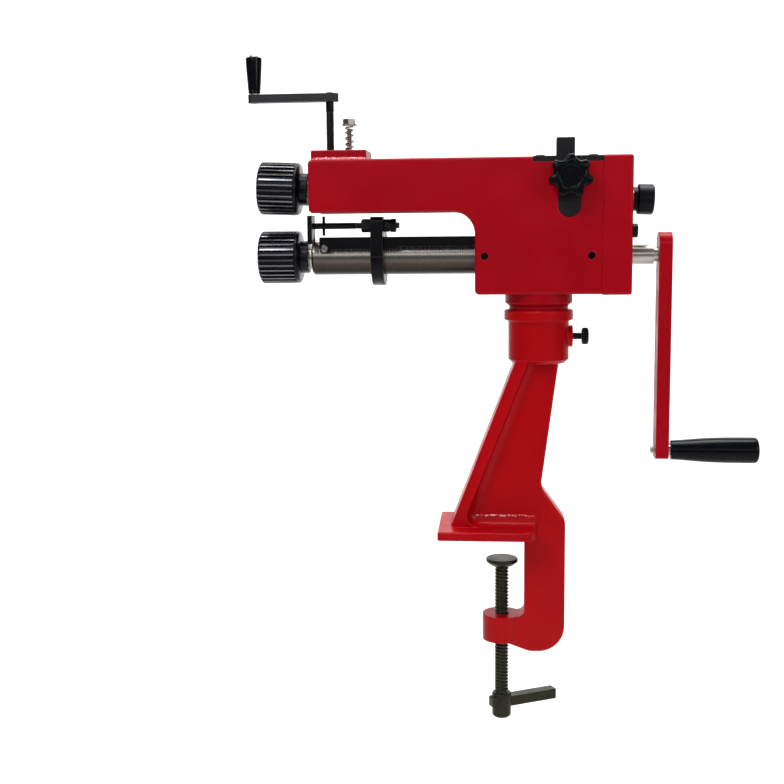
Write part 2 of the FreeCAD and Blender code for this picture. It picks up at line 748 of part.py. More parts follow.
def head_casting():
    """Housing, arm, neck and inner bosses, with every hole cut."""
    rear_boss_x = HOUSING_REAR - BEARING_BOSS_LENGTH
    bosses = [bearing_boss(HOUSING_FRONT), bearing_boss(rear_boss_x), neck()]
    bosses += [
        boss.common(block(0, HOUSING_REAR, -HEAD_WIDTH / 2 + 1, HEAD_WIDTH / 2 - 1, 0, PIVOT_RISE))
        for boss in cover_screw_bosses(HOUSING_REAR - 22, 22, 7)
    ]
    bosses.append(rod(PIVOT_PIN_R + 8, INNER_HALF - HANGER_IN + 1, (PIVOT_X, HANGER_IN, PIVOT_RISE), Y_AXIS))
    body = head_shell().fuse(bosses)
    half = HEAD_WIDTH / 2
    slot_half = HANGER_WIDTH / 2 + HANGER_PLAY
    slot_low = HANGER_BOTTOM_RISE + HANGER_WIDTH / 2
    seat_left = HANGER_PLATE_LEFT - SEAT_PLAY
    cuts = [
        rod(LOWER_SLEEVE_R + SNUG, HOUSING_REAR - HOUSING_FRONT + 2, (HOUSING_FRONT - 1, 0, 0), X_AXIS),
        guide_prism(HOUSING_FRONT - 1, HOUSING_FRONT + GUIDE_SOCKET, THRUST_GAP),
        block(seat_left, HOUSING_REAR + 1, -half - 1, half + 1, HANGER_SEAT_Z, HOUSING_TOP + 1),
        block(PIVOT_X - slot_half, PIVOT_X + slot_half, -half - 1, -HANGER_IN, slot_low, HOUSING_TOP + 1),
        rod(slot_half, half + 1 - HANGER_IN, (PIVOT_X, -half - 1, slot_low), Y_AXIS),
        rod(PIVOT_PIN_R + SNUG, PIVOT_PIN_GRIP, (PIVOT_X, HANGER_IN - 1, PIVOT_RISE), Y_AXIS),
        rod(ADJUST_R + 1, HEAD_WALL + 2, (ADJUST_X, 0, ROOF_Z - 1), Z_AXIS),
        lift_slot(ROOF_Z - 1, HOUSING_TOP + 1),
    ]
    for x in set_screw_places():
        cuts.append(rod(SET_SCREW_R + SNUG, half, (x, -half - 1, 0), Y_AXIS))
    cuts += cover_screw_bosses(HOUSING_REAR - COVER_SCREW_DEPTH - 2, 40, COVER_SCREW_R + SNUG)
    for x in hanger_screw_places():
        depth = HOUSING_ROOF - HANGER_SEAT_DEPTH - 1
        cuts.append(rod(HANGER_SCREW_R + SNUG, depth + 1, (x, 0, HANGER_SEAT_Z - depth), Z_AXIS))
    return on_head(body.cut(cuts).removeSplitter())


def gear_cover():
    """Deep cover over the gears, open to the housing."""
    half = HEAD_WIDTH / 2 + COVER_PROUD
    low = HOUSING_BOTTOM - COVER_PROUD
    high = HOUSING_TOP + COVER_PROUD
    body = block(HOUSING_REAR, COVER_REAR, -half, half, low, high)
    far = [e for e in body.Edges if all(abs(v.X - COVER_REAR) < 1e-6 for v in e.Vertexes)]
    long = [e for e in body.Edges if abs(e.Vertexes[0].X - e.Vertexes[-1].X) > 1]
    body = body.makeFillet(CAST_ROUND, far + long)
    room = block(
        HOUSING_REAR - 1, COVER_REAR - COVER_REAR_WALL, -half + COVER_WALL, half - COVER_WALL,
        low + COVER_WALL, high - COVER_WALL,
    )
    depth = COVER_REAR - HOUSING_REAR
    bosses = cover_screw_bosses(HOUSING_REAR, depth - 1, COVER_SCREW_R + 2.4)
    body = body.cut(room).fuse(bosses)
    rest = upper_line_height(COVER_REAR)
    closed = closed_line_height(COVER_REAR)
    upper_r = SHAFT_R + abs(closed - rest) / 2 + 1
    cuts = [
        rod(SHAFT_R + 0.5, 20, (COVER_REAR - 15, 0, 0), X_AXIS),
        rod(upper_r, 20, (COVER_REAR - 15, 0, (rest + closed) / 2), X_AXIS),
    ]
    cuts += cover_screw_bosses(HOUSING_REAR - 1, depth + 2, COVER_SCREW_R + SNUG)
    return on_head(body.cut(cuts))


def cover_screws():
    """Two cap screws that hold the gear cover."""
    screws = []
    for y in (-COVER_SCREW_Y, COVER_SCREW_Y):
        reach = COVER_REAR - HOUSING_REAR + COVER_SCREW_DEPTH
        stem = rod(COVER_SCREW_R, reach, (COVER_REAR - reach, y, COVER_SCREW_Z), X_AXIS)
        profile = [
            (0, COVER_SCREW_HEAD_R),
            (COVER_SCREW_HEAD - 1, COVER_SCREW_HEAD_R),
            (COVER_SCREW_HEAD, COVER_SCREW_HEAD_R - 1),
        ]
        head = turned(profile, (COVER_REAR, y, COVER_SCREW_Z), X_AXIS)
        key_hole = hex_bar(5, 3, (COVER_REAR + COVER_SCREW_HEAD - 2.5, y, COVER_SCREW_Z), X_AXIS)
        screws.append(stem.fuse(head).cut(key_hole))
    return on_head(Part.makeCompound(screws))


def front_top_plate():
    """Plate welded on the arm, carrying the adjusting screw and the spring."""
    right = FRONT_PLATE_LEFT + FRONT_PLATE_LENGTH
    half = FRONT_PLATE_WIDTH / 2
    top = HOUSING_TOP + FRONT_PLATE_THICK
    body = block(FRONT_PLATE_LEFT, right, -half, half, HOUSING_TOP, top)
    uprights = [e for e in body.Edges if abs(e.Vertexes[0].Z - e.Vertexes[-1].Z) > 1]
    rims = [e for e in body.Edges if all(abs(v.Z - top) < 1e-6 for v in e.Vertexes)]
    body = body.makeFillet(1.6, uprights + rims)
    screw_hole = rod(ADJUST_R + RUNNING, FRONT_PLATE_THICK + 2, (ADJUST_X, 0, HOUSING_TOP - 1), Z_AXIS)
    return on_head(body.cut([screw_hole, lift_slot(HOUSING_TOP - 1, top + 1)]))


def hanger_screw_places():
    """X of the two screws through the hanger's plate."""
    return (HANGER_PLATE_LEFT + HANGER_SCREW_INSET, HOUSING_REAR - HANGER_SCREW_INSET)


def pivot_hanger():
    """Plate on the housing with the hanging leg that carries the front pivot pin."""
    half = HEAD_WIDTH / 2 - 1
    plate_top = HANGER_SEAT_Z + HANGER_PLATE_THICK
    plate = block(HANGER_PLATE_LEFT, HOUSING_REAR - SEAT_PLAY, -half, half, HANGER_SEAT_Z, plate_top)
    leg_half = HANGER_WIDTH / 2
    slot_low = HANGER_BOTTOM_RISE + leg_half
    leg = block(PIVOT_X - leg_half, PIVOT_X + leg_half, -HANGER_OUT, -HANGER_IN, slot_low, plate_top)
    toe = rod(leg_half, HANGER_THICK, (PIVOT_X, -HANGER_OUT, slot_low), Y_AXIS)
    lug_half = HANGER_LUG_WIDTH / 2
    lug_back = -HANGER_OUT + HANGER_LUG_THICK
    lug_left = HANGER_LUG_X - lug_half
    lug_right = HANGER_LUG_X + lug_half
    lug = block(lug_left, lug_right, -HANGER_OUT, lug_back, plate_top - 1, HANGER_LUG_TOP)
    rims = [e for e in lug.Edges if all(abs(v.Z - HANGER_LUG_TOP) < 1e-6 for v in e.Vertexes)]
    lug = lug.makeFillet(1.5, rims)
    body = plate.fuse([leg, toe, lug])
    pin_back = -HANGER_IN - PIVOT_PIN_GRIP + 1
    cuts = [
        rod(PIVOT_PIN_R + SNUG, PIVOT_PIN_GRIP, (PIVOT_X, pin_back, PIVOT_RISE), Y_AXIS),
        rod(KNOB_STUD_R + SNUG, HANGER_THICK + 2, (PIVOT_X, -HANGER_OUT - 1, KNOB_RISE), Y_AXIS),
    ]
    for x in hanger_screw_places():
        cuts.append(rod(HANGER_SCREW_R + SNUG, 30, (x, 0, HANGER_SEAT_Z - 5), Z_AXIS))
    return on_head(body.cut(cuts).removeSplitter())


def hanger_screws():
    """Two low-headed screws through the hanger's plate."""
    screws = []
    depth = HOUSING_ROOF - HANGER_SEAT_DEPTH - 2
    for x in hanger_screw_places():
        top = HANGER_SEAT_Z + HANGER_PLATE_THICK
        stem = rod(HANGER_SCREW_R, depth + HANGER_PLATE_THICK, (x, 0, HANGER_SEAT_Z - depth), Z_AXIS)
        profile = [
            (0, HANGER_SCREW_HEAD_R),
            (HANGER_SCREW_HEAD - 1.2, HANGER_SCREW_HEAD_R),
            (HANGER_SCREW_HEAD, HANGER_SCREW_HEAD_R - 1.6),
        ]
        head = turned(profile, (x, 0, top), Z_AXIS)
        key_hole = hex_bar(5, 3, (x, 0, top + HANGER_SCREW_HEAD - 2), Z_AXIS)
        screws.append(stem.fuse(head).cut(key_hole))
    return on_head(Part.makeCompound(screws))


def pivot_pins():
    """Two stub pins, one in the hanger and one in the rear wall."""
    grip = PIVOT_PIN_GRIP - 1
    reach = SIDE_PLAY + pivot_hole_depth() - 1
    front = rod(PIVOT_PIN_R, grip + reach, (PIVOT_X, -HANGER_IN - grip, PIVOT_RISE), Y_AXIS)
    back = rod(PIVOT_PIN_R, grip + reach, (PIVOT_X, HANGER_IN - reach, PIVOT_RISE), Y_AXIS)
    return on_head(Part.makeCompound([front, back]))


def pivot_hole_depth():
    """Depth of the pin holes in the sleeve's block, short of the sleeve's bore."""
    return PIVOT_BLOCK_WIDTH / 2 - BUSH_R - 1


def knob_stud():
    """Stud screwed into the hanger for the star knob."""
    length = HANGER_THICK + KNOB_HUB_LENGTH + KNOB_THICK * 0.6
    return on_head(rod(KNOB_STUD_R, length, (PIVOT_X, -HANGER_IN, KNOB_RISE), -Y_AXIS))


def star_knob():
    """Lobed clamping knob with a round hub."""
    start = -HANGER_OUT - THRUST_GAP
    back = start - KNOB_HUB_LENGTH
    body = rod(KNOB_BODY_R, KNOB_THICK, (PIVOT_X, back, KNOB_RISE), -Y_AXIS)
    lobes = []
    for i in range(KNOB_LOBES):
        lobe = rod(KNOB_LOBE_R, KNOB_THICK, (PIVOT_X, back, KNOB_RISE + KNOB_R - KNOB_LOBE_R), -Y_AXIS)
        lobe.rotate(V(PIVOT_X, 0, KNOB_RISE), Y_AXIS, 360.0 / KNOB_LOBES * i)
        lobes.append(lobe)
    star = body.fuse(lobes).removeSplitter()
    valleys = [e for e in star.Edges if len(e.Vertexes) == 2 and abs(e.Vertexes[0].Y - e.Vertexes[1].Y) > 1]
    star = star.makeFillet(KNOB_VALLEY_R, valleys)
    rims = [e for e in star.Edges if all(abs(v.Y - back + KNOB_THICK) < 1e-6 for v in e.Vertexes)]
    star = star.makeFillet(KNOB_RIM, rims)
    hub = rod(KNOB_HUB_R, KNOB_HUB_LENGTH, (PIVOT_X, start, KNOB_RISE), -Y_AXIS)
    bore_depth = KNOB_HUB_LENGTH + KNOB_THICK * 0.6 + 1
    bore = rod(KNOB_STUD_R + RUNNING, bore_depth, (PIVOT_X, start + 1, KNOB_RISE), -Y_AXIS)
    return on_head(star.fuse(hub).cut(bore).removeSplitter())


# Lower shaft line

def sleeve_tube(radius, front, rear):
    """Tube with chamfered ends, bored for its bushes."""
    length = rear - front
    profile = [
        (0, radius - SLEEVE_CHAMFER),
        (SLEEVE_CHAMFER, radius),
        (length - SLEEVE_CHAMFER, radius),
        (length, radius - SLEEVE_CHAMFER),
    ]
    tube = turned(profile, (front, 0, 0), X_AXIS)
    return tube.cut(rod(BUSH_R, length + 2, (front - 1, 0, 0), X_AXIS))


def bush_pair(front, rear):
    """Two bronze bushes at the ends of a sleeve."""
    bushes = []
    for x in (front, rear - BUSH_LENGTH):
        bush = rod(BUSH_R - SNUG, BUSH_LENGTH, (x, 0, 0), X_AXIS)
        bushes.append(bush.cut(rod(SHAFT_R + RUNNING, BUSH_LENGTH + 2, (x - 1, 0, 0), X_AXIS)))
    return Part.makeCompound(bushes)


def lower_sleeve():
    """Fixed sleeve that carries the lower shaft out to the rolls."""
    tube = sleeve_tube(LOWER_SLEEVE_R, LOWER_SLEEVE_FRONT, HOUSING_REAR - SLEEVE_REAR_SETBACK)
    depth = LOWER_SLEEVE_R - guide_bolt_tip()
    hole = rod(GUIDE_BOLT_R + SNUG, depth + 0.1, (GUIDE_BOLT_X, -LOWER_SLEEVE_R, GUIDE_BOLT_Z), Y_AXIS)
    return on_head(tube.cut(hole))


def sleeve_set_screws():
    """Two socket set screws bearing on the lower sleeve."""
    screws = []
    for x in set_screw_places():
        tip = -LOWER_SLEEVE_R - THRUST_GAP
        screw = rod(SET_SCREW_R, SET_SCREW_LENGTH, (x, tip - SET_SCREW_LENGTH, 0), Y_AXIS)
        key_hole = hex_bar(4, 5, (x, tip - SET_SCREW_LENGTH - 1, 0), Y_AXIS)
        screws.append(screw.cut(key_hole))
    return on_head(Part.makeCompound(screws))


def roll_ends():
    """X of the roll's ribbed front face, the back of its plain rim and the end of its hub."""
    rim_end = ROLL_X + ROLL_WIDTH / 2 + ROLL_RIM
    return ROLL_X - ROLL_WIDTH / 2, rim_end, rim_end + HUB_LENGTH


def ribbed_drum():
    """Straight-ribbed drum of a feed roll with a plain rim behind it, chamfered at both ends."""
    front, rim_end, hub_end = roll_ends()
    step = 2 * math.pi / ROLL_RIBS
    top, foot = RIB_TOP_SHARE / 2, RIB_FOOT_SHARE / 2
    root = ROLL_R - RIB_DEPTH
    points = []
    for i in range(ROLL_RIBS):
        for share, radius in ((-top, ROLL_R), (top, ROLL_R), (foot, root), (1 - foot, root)):
            angle = (i + share) * step
            points.append(V(front, radius * math.sin(angle), radius * math.cos(angle)))
    points.append(points[0])
    drum = Part.Face(Part.makePolygon(points)).extrude(V(ROLL_WIDTH, 0, 0))
    rim = rod(ROLL_R, ROLL_RIM, (rim_end - ROLL_RIM, 0, 0), X_AXIS)
    length = rim_end - front
    profile = [
        (0, ROLL_R - ROLL_CHAMFER),
        (ROLL_CHAMFER, ROLL_R + 0.5),
        (length - ROLL_CHAMFER, ROLL_R + 0.5),
        (length, ROLL_R - ROLL_CHAMFER),
    ]
    return drum.fuse(rim).common(turned(profile, (front, 0, 0), X_AXIS))


def feed_roll():
    """Ribbed drum with its hub, bore, keyway and screw recess."""
    front, rim_end, hub_end = roll_ends()
    root = ROLL_RIM / 2
    hub_profile = [
        (0, HUB_R),
        (HUB_LENGTH + root - 1.5, HUB_R),
        (HUB_LENGTH + root, HUB_R - 1.5),
    ]
    hub = turned(hub_profile, (rim_end - root, 0, 0), X_AXIS)
    cuts = [
        rod(SHAFT_R + SNUG, hub_end - front + 2, (front - 1, 0, 0), X_AXIS),
        rod(ROLL_RECESS_R, ROLL_RECESS_DEPTH + 1, (front - 1, 0, 0), X_AXIS),
        key_block(front - 1, hub_end + 1, SNUG),
    ]
    return ribbed_drum().fuse(hub).cut(cuts)


def key_block(x0, x1, play):
    """A key or its way on top of a shaft."""
    half = KEY_SIZE / 2 + play
    top = SHAFT_R + KEY_STAND_OUT + play
    return block(x0, x1, -half, half, top - KEY_SIZE - 2 * play, top)


def key_spans():
    """X spans of the roll key and the gear key."""
    start = roll_ends()[0] + ROLL_RECESS_DEPTH + 6
    gear_front = GEAR_X - GEAR_WIDTH / 2
    return ((start, start + ROLL_KEY_LENGTH), (gear_front, gear_front + GEAR_WIDTH))


def shaft_keys():
    """The roll key and the gear key of one shaft."""
    return Part.makeCompound([key_block(x0, x1, 0) for x0, x1 in key_spans()])


def shaft_blank(rear):
    """Round shaft from the roll's screw to the rear, with keyways and tapped end."""
    front = roll_ends()[0] + ROLL_RECESS_DEPTH + 0.5
    blank = rod(SHAFT_R, rear - front, (front, 0, 0), X_AXIS)
    cuts = [key_block(x0 - SNUG, x1 + SNUG, SNUG) for x0, x1 in key_spans()]
    cuts.append(rod(ROLL_SCREW_R + SNUG, 22, (front - 1, 0, 0), X_AXIS))
    return blank.cut(cuts)


def roll_screw():
    """Screw and washer that hold a roll on its shaft."""
    floor = roll_ends()[0] + ROLL_RECESS_DEPTH
    profile = [
        (0, 5.5),
        (1, 6.5),
        (4.5, 6.5),
        (4.5, 15.5),
        (7.5, 15.5),
        (7.5, ROLL_SCREW_R),
        (25, ROLL_SCREW_R),
    ]
    return turned(profile, (floor - 7.5, 0, 0), X_AXIS).cut(hex_bar(6, 3.5, (floor - 8, 0, 0), X_AXIS))


def gear_pitch_radius():
    """Half the distance left between the shafts at the gears, less the mesh gap."""
    reach = (GEAR_X - PIVOT_X) * math.sin(math.radians(REST_TILT))
    return (PIVOT_RISE - reach - MESH_GAP) / 2


def spur_gear(turn):
    """Involute spur gear with a hub, keyed to the shaft."""
    pitch_r = gear_pitch_radius()
    module = 2 * pitch_r / GEAR_TEETH
    base_r = pitch_r * math.cos(math.radians(PRESSURE_ANGLE))
    tip_r = pitch_r + module
    root_r = pitch_r - 1.3 * module
    spread = math.tan(math.radians(PRESSURE_ANGLE)) - math.radians(PRESSURE_ANGLE)
    half_tooth = math.pi / (2 * GEAR_TEETH) - TOOTH_BACKLASH / 4 / pitch_r
    radii = [base_r + (tip_r - base_r) * share for share in (0.0, 0.3, 0.62, 1.0)]
    flank = [(root_r, half_tooth + spread + 0.006)]
    for radius in radii:
        roll = math.sqrt(max((radius / base_r) ** 2 - 1, 0.0))
        flank.append((radius, half_tooth + spread - (roll - math.atan(roll))))
    front = GEAR_X - GEAR_WIDTH / 2
    points = []
    for i in range(GEAR_TEETH):
        centre = 2 * math.pi * (i + turn) / GEAR_TEETH
        outline = [(r, -a) for r, a in flank] + [(r, a) for r, a in reversed(flank)]
        for radius, angle in outline:
            points.append(V(front, radius * math.sin(centre + angle), radius * math.cos(centre + angle)))
    points.append(points[0])
    teeth = Part.Face(Part.makePolygon(points)).extrude(V(GEAR_WIDTH, 0, 0))
    hub = rod(GEAR_HUB_R, GEAR_HUB_LENGTH + 1, (front - GEAR_HUB_LENGTH, 0, 0), X_AXIS)
    bore = rod(SHAFT_R + SNUG, CUT_REACH, (front - CUT_REACH / 3, 0, 0), X_AXIS)
    return teeth.fuse(hub).cut([bore, key_block(front - 20, front + GEAR_WIDTH + 1, SNUG)])


def lower_shaft():
    """Lower shaft with its neck and square end for the crank."""
    blank = shaft_blank(SHAFT_STEP_X)
    neck_bar = rod(SHAFT_NECK_R, CRANK_LEFT - SHAFT_STEP_X, (SHAFT_STEP_X, 0, 0), X_AXIS)
    side = SQUARE_SIDE / 2
    square = block(CRANK_LEFT, CRANK_LEFT + SQUARE_LENGTH, -side, side, -side, side)
    hole_start = CRANK_LEFT + CRANK_THICK - CRANK_SCREW_LENGTH - 1
    hole = rod(CRANK_SCREW_R + SNUG, CUT_REACH, (hole_start, 0, 0), X_AXIS)
    return on_head(blank.fuse([neck_bar, square]).cut(hole))


def crank_arm():
    """Flat crank arm with a square eye, a countersink and the grip pin's hole."""
    right = CRANK_LEFT + CRANK_THICK
    half = CRANK_WIDTH / 2
    arm = block(CRANK_LEFT, right, -half, half, -CRANK_THROW - CRANK_BELOW_GRIP, CRANK_ABOVE)
    across = [e for e in arm.Edges if abs(e.Vertexes[0].X - e.Vertexes[-1].X) > 1]
    top = [e for e in across if e.CenterOfMass.z > 0]
    arm = arm.makeFillet(CRANK_CORNER, top)
    foot = [
        e for e in arm.Edges
        if abs(e.Vertexes[0].X - e.Vertexes[-1].X) > 1 and e.CenterOfMass.z < -CRANK_THROW
    ]
    arm = arm.makeFillet(3.0, foot)
    side = SQUARE_SIDE / 2 + SNUG
    cuts = [
        block(CRANK_LEFT - 1, CRANK_LEFT + SQUARE_LENGTH + 0.3, -side, side, -side, side),
        rod(CRANK_SCREW_R + SNUG, CRANK_THICK + 2, (CRANK_LEFT - 1, 0, 0), X_AXIS),
        countersunk(right, SNUG),
        rod(GRIP_PIN_R + SNUG, CRANK_THICK + 2, (CRANK_LEFT - 1, 0, -CRANK_THROW), X_AXIS),
    ]
    return on_head(arm.cut(cuts))


def countersunk(face_x, play):
    """Cone of a countersunk head that ends flush with a face."""
    depth = CRANK_SCREW_HEAD_R - CRANK_SCREW_R
    profile = [(0, CRANK_SCREW_R + play), (depth, CRANK_SCREW_HEAD_R + play)]
    return turned(profile, (face_x - depth, 0, 0), X_AXIS)


def crank_screw():
    """Countersunk screw that holds the crank on the square."""
    right = CRANK_LEFT + CRANK_THICK
    stem = rod(CRANK_SCREW_R, CRANK_SCREW_LENGTH - 1, (right - CRANK_SCREW_LENGTH, 0, 0), X_AXIS)
    key_hole = hex_bar(5, 4, (right - 3, 0, 0), X_AXIS)
    return on_head(stem.fuse(countersunk(right, 0)).cut(key_hole))


def grip_pin():
    """Pin riveted in the crank arm, on which the grip turns."""
    start = CRANK_LEFT - GRIP_PIN_TAIL
    length = GRIP_PIN_TAIL + CRANK_THICK + GRIP_GAP + GRIP_BORE_DEPTH - 1
    profile = [
        (0, GRIP_PIN_R - 1),
        (1, GRIP_PIN_R),
        (length - 1, GRIP_PIN_R),
        (length, GRIP_PIN_R - 1),
    ]
    pin = turned(profile, (start, 0, -CRANK_THROW), X_AXIS)
    outer = (CRANK_LEFT + CRANK_THICK, 0, -CRANK_THROW)
    spacer = rod(GRIP_PIN_R + 2.5, GRIP_GAP - THRUST_GAP, outer, X_AXIS)
    return on_head(pin.fuse(spacer))


def crank_grip():
    """Swelling grip that turns on its pin."""
    start = CRANK_LEFT + CRANK_THICK + GRIP_GAP
    swell = GRIP_BELLY_R - GRIP_NECK_R
    profile = [
        (0, GRIP_NECK_R),
        (GRIP_LENGTH * 0.1, GRIP_NECK_R + 0.14 * swell),
        (GRIP_LENGTH * 0.23, GRIP_NECK_R + 0.40 * swell),
        (GRIP_LENGTH * 0.38, GRIP_NECK_R + 0.72 * swell),
        (GRIP_LENGTH * 0.58, GRIP_NECK_R + 0.95 * swell),
        (GRIP_LENGTH - GRIP_END_ROUND, GRIP_BELLY_R),
    ]
    grip = soft_turned(profile, GRIP_END_ROUND, (start, 0, -CRANK_THROW), X_AXIS)
    bore = rod(GRIP_PIN_R + RUNNING, GRIP_BORE_DEPTH + 1, (start - 1, 0, -CRANK_THROW), X_AXIS)
    return on_head(grip.cut(bore))


# Upper shaft line, drawn level and then tilted about the pivot

def at_upper(solid):
    """Move a solid drawn on the lower axis up to the level upper line."""
    solid.translate(V(0, 0, PIVOT_RISE))
    return on_upper_line(solid)


def upper_sleeve():
    """Tilting sleeve with its pivot block and the flat under the screw."""
    rear = PIVOT_X + PIVOT_BLOCK_LENGTH / 2 + 10
    tube = sleeve_tube(UPPER_SLEEVE_R, UPPER_SLEEVE_FRONT, rear)
    half_l = PIVOT_BLOCK_LENGTH / 2
    half_w = PIVOT_BLOCK_WIDTH / 2
    half_h = PIVOT_BLOCK_HEIGHT / 2
    pivot_block = block(PIVOT_X - half_l, PIVOT_X + half_l, -half_w, half_w, -half_h, half_h)
    along = [e for e in pivot_block.Edges if abs(e.Vertexes[0].X - e.Vertexes[-1].X) > 1]
    pivot_block = pivot_block.makeFillet(4, along)
    body = tube.fuse(pivot_block)
    depth = pivot_hole_depth()
    flat = block(
        ADJUST_X - 12, LIFT_X + 8, -UPPER_SLEEVE_R, UPPER_SLEEVE_R, SLEEVE_FLAT_RISE, UPPER_SLEEVE_R + 1
    )
    cuts = [
        rod(BUSH_R, 4 * CUT_REACH, (PIVOT_X - 2 * CUT_REACH, 0, 0), X_AXIS),
        rod(PIVOT_PIN_R + RUNNING, depth + 1, (PIVOT_X, -half_w - 1, 0), Y_AXIS),
        rod(PIVOT_PIN_R + RUNNING, depth + 1, (PIVOT_X, half_w + 1, 0), -Y_AXIS),
        flat,
    ]
    body = at_upper(body.cut(cuts))
    bolt_hole = rod(LIFT_BOLT_R + SNUG, 40, (LIFT_X, 0, lift_bolt_end()), Z_AXIS)
    return body.cut(on_head(bolt_hole))


def lift_bolt_end():
    """Height of the lifting bolt's tip, inside the sleeve's wall."""
    return upper_line_height(LIFT_X) + BUSH_R + LIFT_TIP_WALL


def upper_bushes():
    """Bushes of the upper shaft."""
    rear = PIVOT_X + PIVOT_BLOCK_LENGTH / 2 + 10
    return at_upper(bush_pair(UPPER_SLEEVE_FRONT, rear))


def upper_shaft():
    """Upper shaft, plain at the rear for its collar."""
    return at_upper(shaft_blank(COLLAR_LEFT + COLLAR_LENGTH - COLLAR_CHAMFER))


def shaft_collar():
    """Black collar and neck at the rear of the upper shaft."""
    profile = [
        (0, COLLAR_NECK_R),
        (COLLAR_NECK_LENGTH, COLLAR_NECK_R),
        (COLLAR_NECK_LENGTH, COLLAR_R - COLLAR_CHAMFER),
        (COLLAR_NECK_LENGTH + COLLAR_CHAMFER, COLLAR_R),
        (COLLAR_NECK_LENGTH + COLLAR_LENGTH - COLLAR_CHAMFER, COLLAR_R),
        (COLLAR_NECK_LENGTH + COLLAR_LENGTH, COLLAR_R - COLLAR_CHAMFER),
    ]
    start = COLLAR_LEFT - COLLAR_NECK_LENGTH
    collar = turned(profile, (start, 0, 0), X_AXIS)
    bore_length = COLLAR_NECK_LENGTH + COLLAR_LENGTH - COLLAR_CHAMFER + 1
    bore = rod(SHAFT_R + SNUG, bore_length, (start - 1, 0, 0), X_AXIS)
    screw_hole = rod(2.5 + SNUG, COLLAR_R, (COLLAR_LEFT + COLLAR_LENGTH / 2, SHAFT_R - 1, 0), Y_AXIS)
    return at_upper(collar.cut([bore, screw_hole]))


def collar_set_screw():
    """Set screw of the collar."""
    x = COLLAR_LEFT + COLLAR_LENGTH / 2
    length = COLLAR_R - SHAFT_R - 0.6
    screw = rod(2.5, length, (x, SHAFT_R + THRUST_GAP, 0), Y_AXIS)
    return at_upper(screw.cut(hex_bar(2.5, 4, (x, SHAFT_R + length - 1.5, 0), Y_AXIS)))


# Adjusting screw and lifting spring

def pad_bottom():
    """Height of the pressure pad's lowest point at rest."""
    lean = 1 / math.cos(math.radians(REST_TILT))
    return upper_line_height(ADJUST_X) + SLEEVE_FLAT_RISE * lean + PAD_GAP


def pressure_pad():
    """Pad with a domed foot that presses on the sleeve's flat."""
    top = pad_bottom() + PAD_HEIGHT
    sphere_r = (PAD_R * PAD_R + PAD_DOME * PAD_DOME) / (2 * PAD_DOME)
    body = rod(PAD_R, PAD_HEIGHT, (ADJUST_X, 0, pad_bottom()), Z_AXIS)
    dome = Part.makeSphere(sphere_r, V(ADJUST_X, 0, pad_bottom() + sphere_r))
    hole = rod(ADJUST_TIP_R + RUNNING, ADJUST_TIP_LENGTH + 1, (ADJUST_X, 0, top - ADJUST_TIP_LENGTH), Z_AXIS)
    return on_head(body.common(dome).cut(hole))


def adjusting_screw():
    """Screw between the small crank and the pressure pad."""
    tip = pad_bottom() + PAD_HEIGHT - ADJUST_TIP_LENGTH + THRUST_GAP
    shoulder = pad_bottom() + PAD_HEIGHT + THRUST_GAP
    top = ADJUST_BAR_BOTTOM + ADJUST_BAR_HEIGHT + 1.2
    profile = [
        (0, ADJUST_TIP_R),
        (shoulder - tip, ADJUST_TIP_R),
        (shoulder - tip, ADJUST_R),
        (top - tip - 1, ADJUST_R),
        (top - tip, ADJUST_R - 1),
    ]
    return on_head(turned(profile, (ADJUST_X, 0, tip), Z_AXIS))


def adjusting_crank():
    """Small crank bar on top of the adjusting screw."""
    half = ADJUST_BAR_DEPTH / 2
    left = ADJUST_X - ADJUST_THROW - ADJUST_GRIP_FOOT_R
    right = ADJUST_X + ADJUST_BAR_TAIL
    top = ADJUST_BAR_BOTTOM + ADJUST_BAR_HEIGHT
    bar = block(left, right, -half, half, ADJUST_BAR_BOTTOM, top)
    uprights = [e for e in bar.Edges if abs(e.Vertexes[0].Z - e.Vertexes[-1].Z) > 1]
    bar = bar.makeFillet(half - 1.5, uprights)
    holes = [
        rod(ADJUST_R + SNUG, 30, (ADJUST_X, 0, ADJUST_BAR_BOTTOM - 10), Z_AXIS),
        rod(ADJUST_PIN_R + SNUG, 30, (ADJUST_X - ADJUST_THROW, 0, ADJUST_BAR_BOTTOM - 10), Z_AXIS),
    ]
    return on_head(bar.cut(holes))


def adjusting_grip_pin():
    """Pin through the small grip, with a domed cap on top."""
    bar_top = ADJUST_BAR_BOTTOM + ADJUST_BAR_HEIGHT
    cap_bottom = bar_top + 1.2 + ADJUST_GRIP_HEIGHT + THRUST_GAP
    x = ADJUST_X - ADJUST_THROW
    stem = rod(ADJUST_PIN_R, cap_bottom - ADJUST_BAR_BOTTOM - 1, (x, 0, ADJUST_BAR_BOTTOM + 1), Z_AXIS)
    washer = rod(ADJUST_PIN_R + 2, 1.2 - THRUST_GAP, (x, 0, bar_top), Z_AXIS)
    sphere_r = (ADJUST_CAP_R ** 2 + ADJUST_CAP_HEIGHT ** 2) / (2 * ADJUST_CAP_HEIGHT)
    ball = Part.makeSphere(sphere_r, V(x, 0, cap_bottom + ADJUST_CAP_HEIGHT - sphere_r))
    cap = ball.common(rod(ADJUST_CAP_R, ADJUST_CAP_HEIGHT + 1, (x, 0, cap_bottom), Z_AXIS))
    return on_head(stem.fuse([washer, cap]))


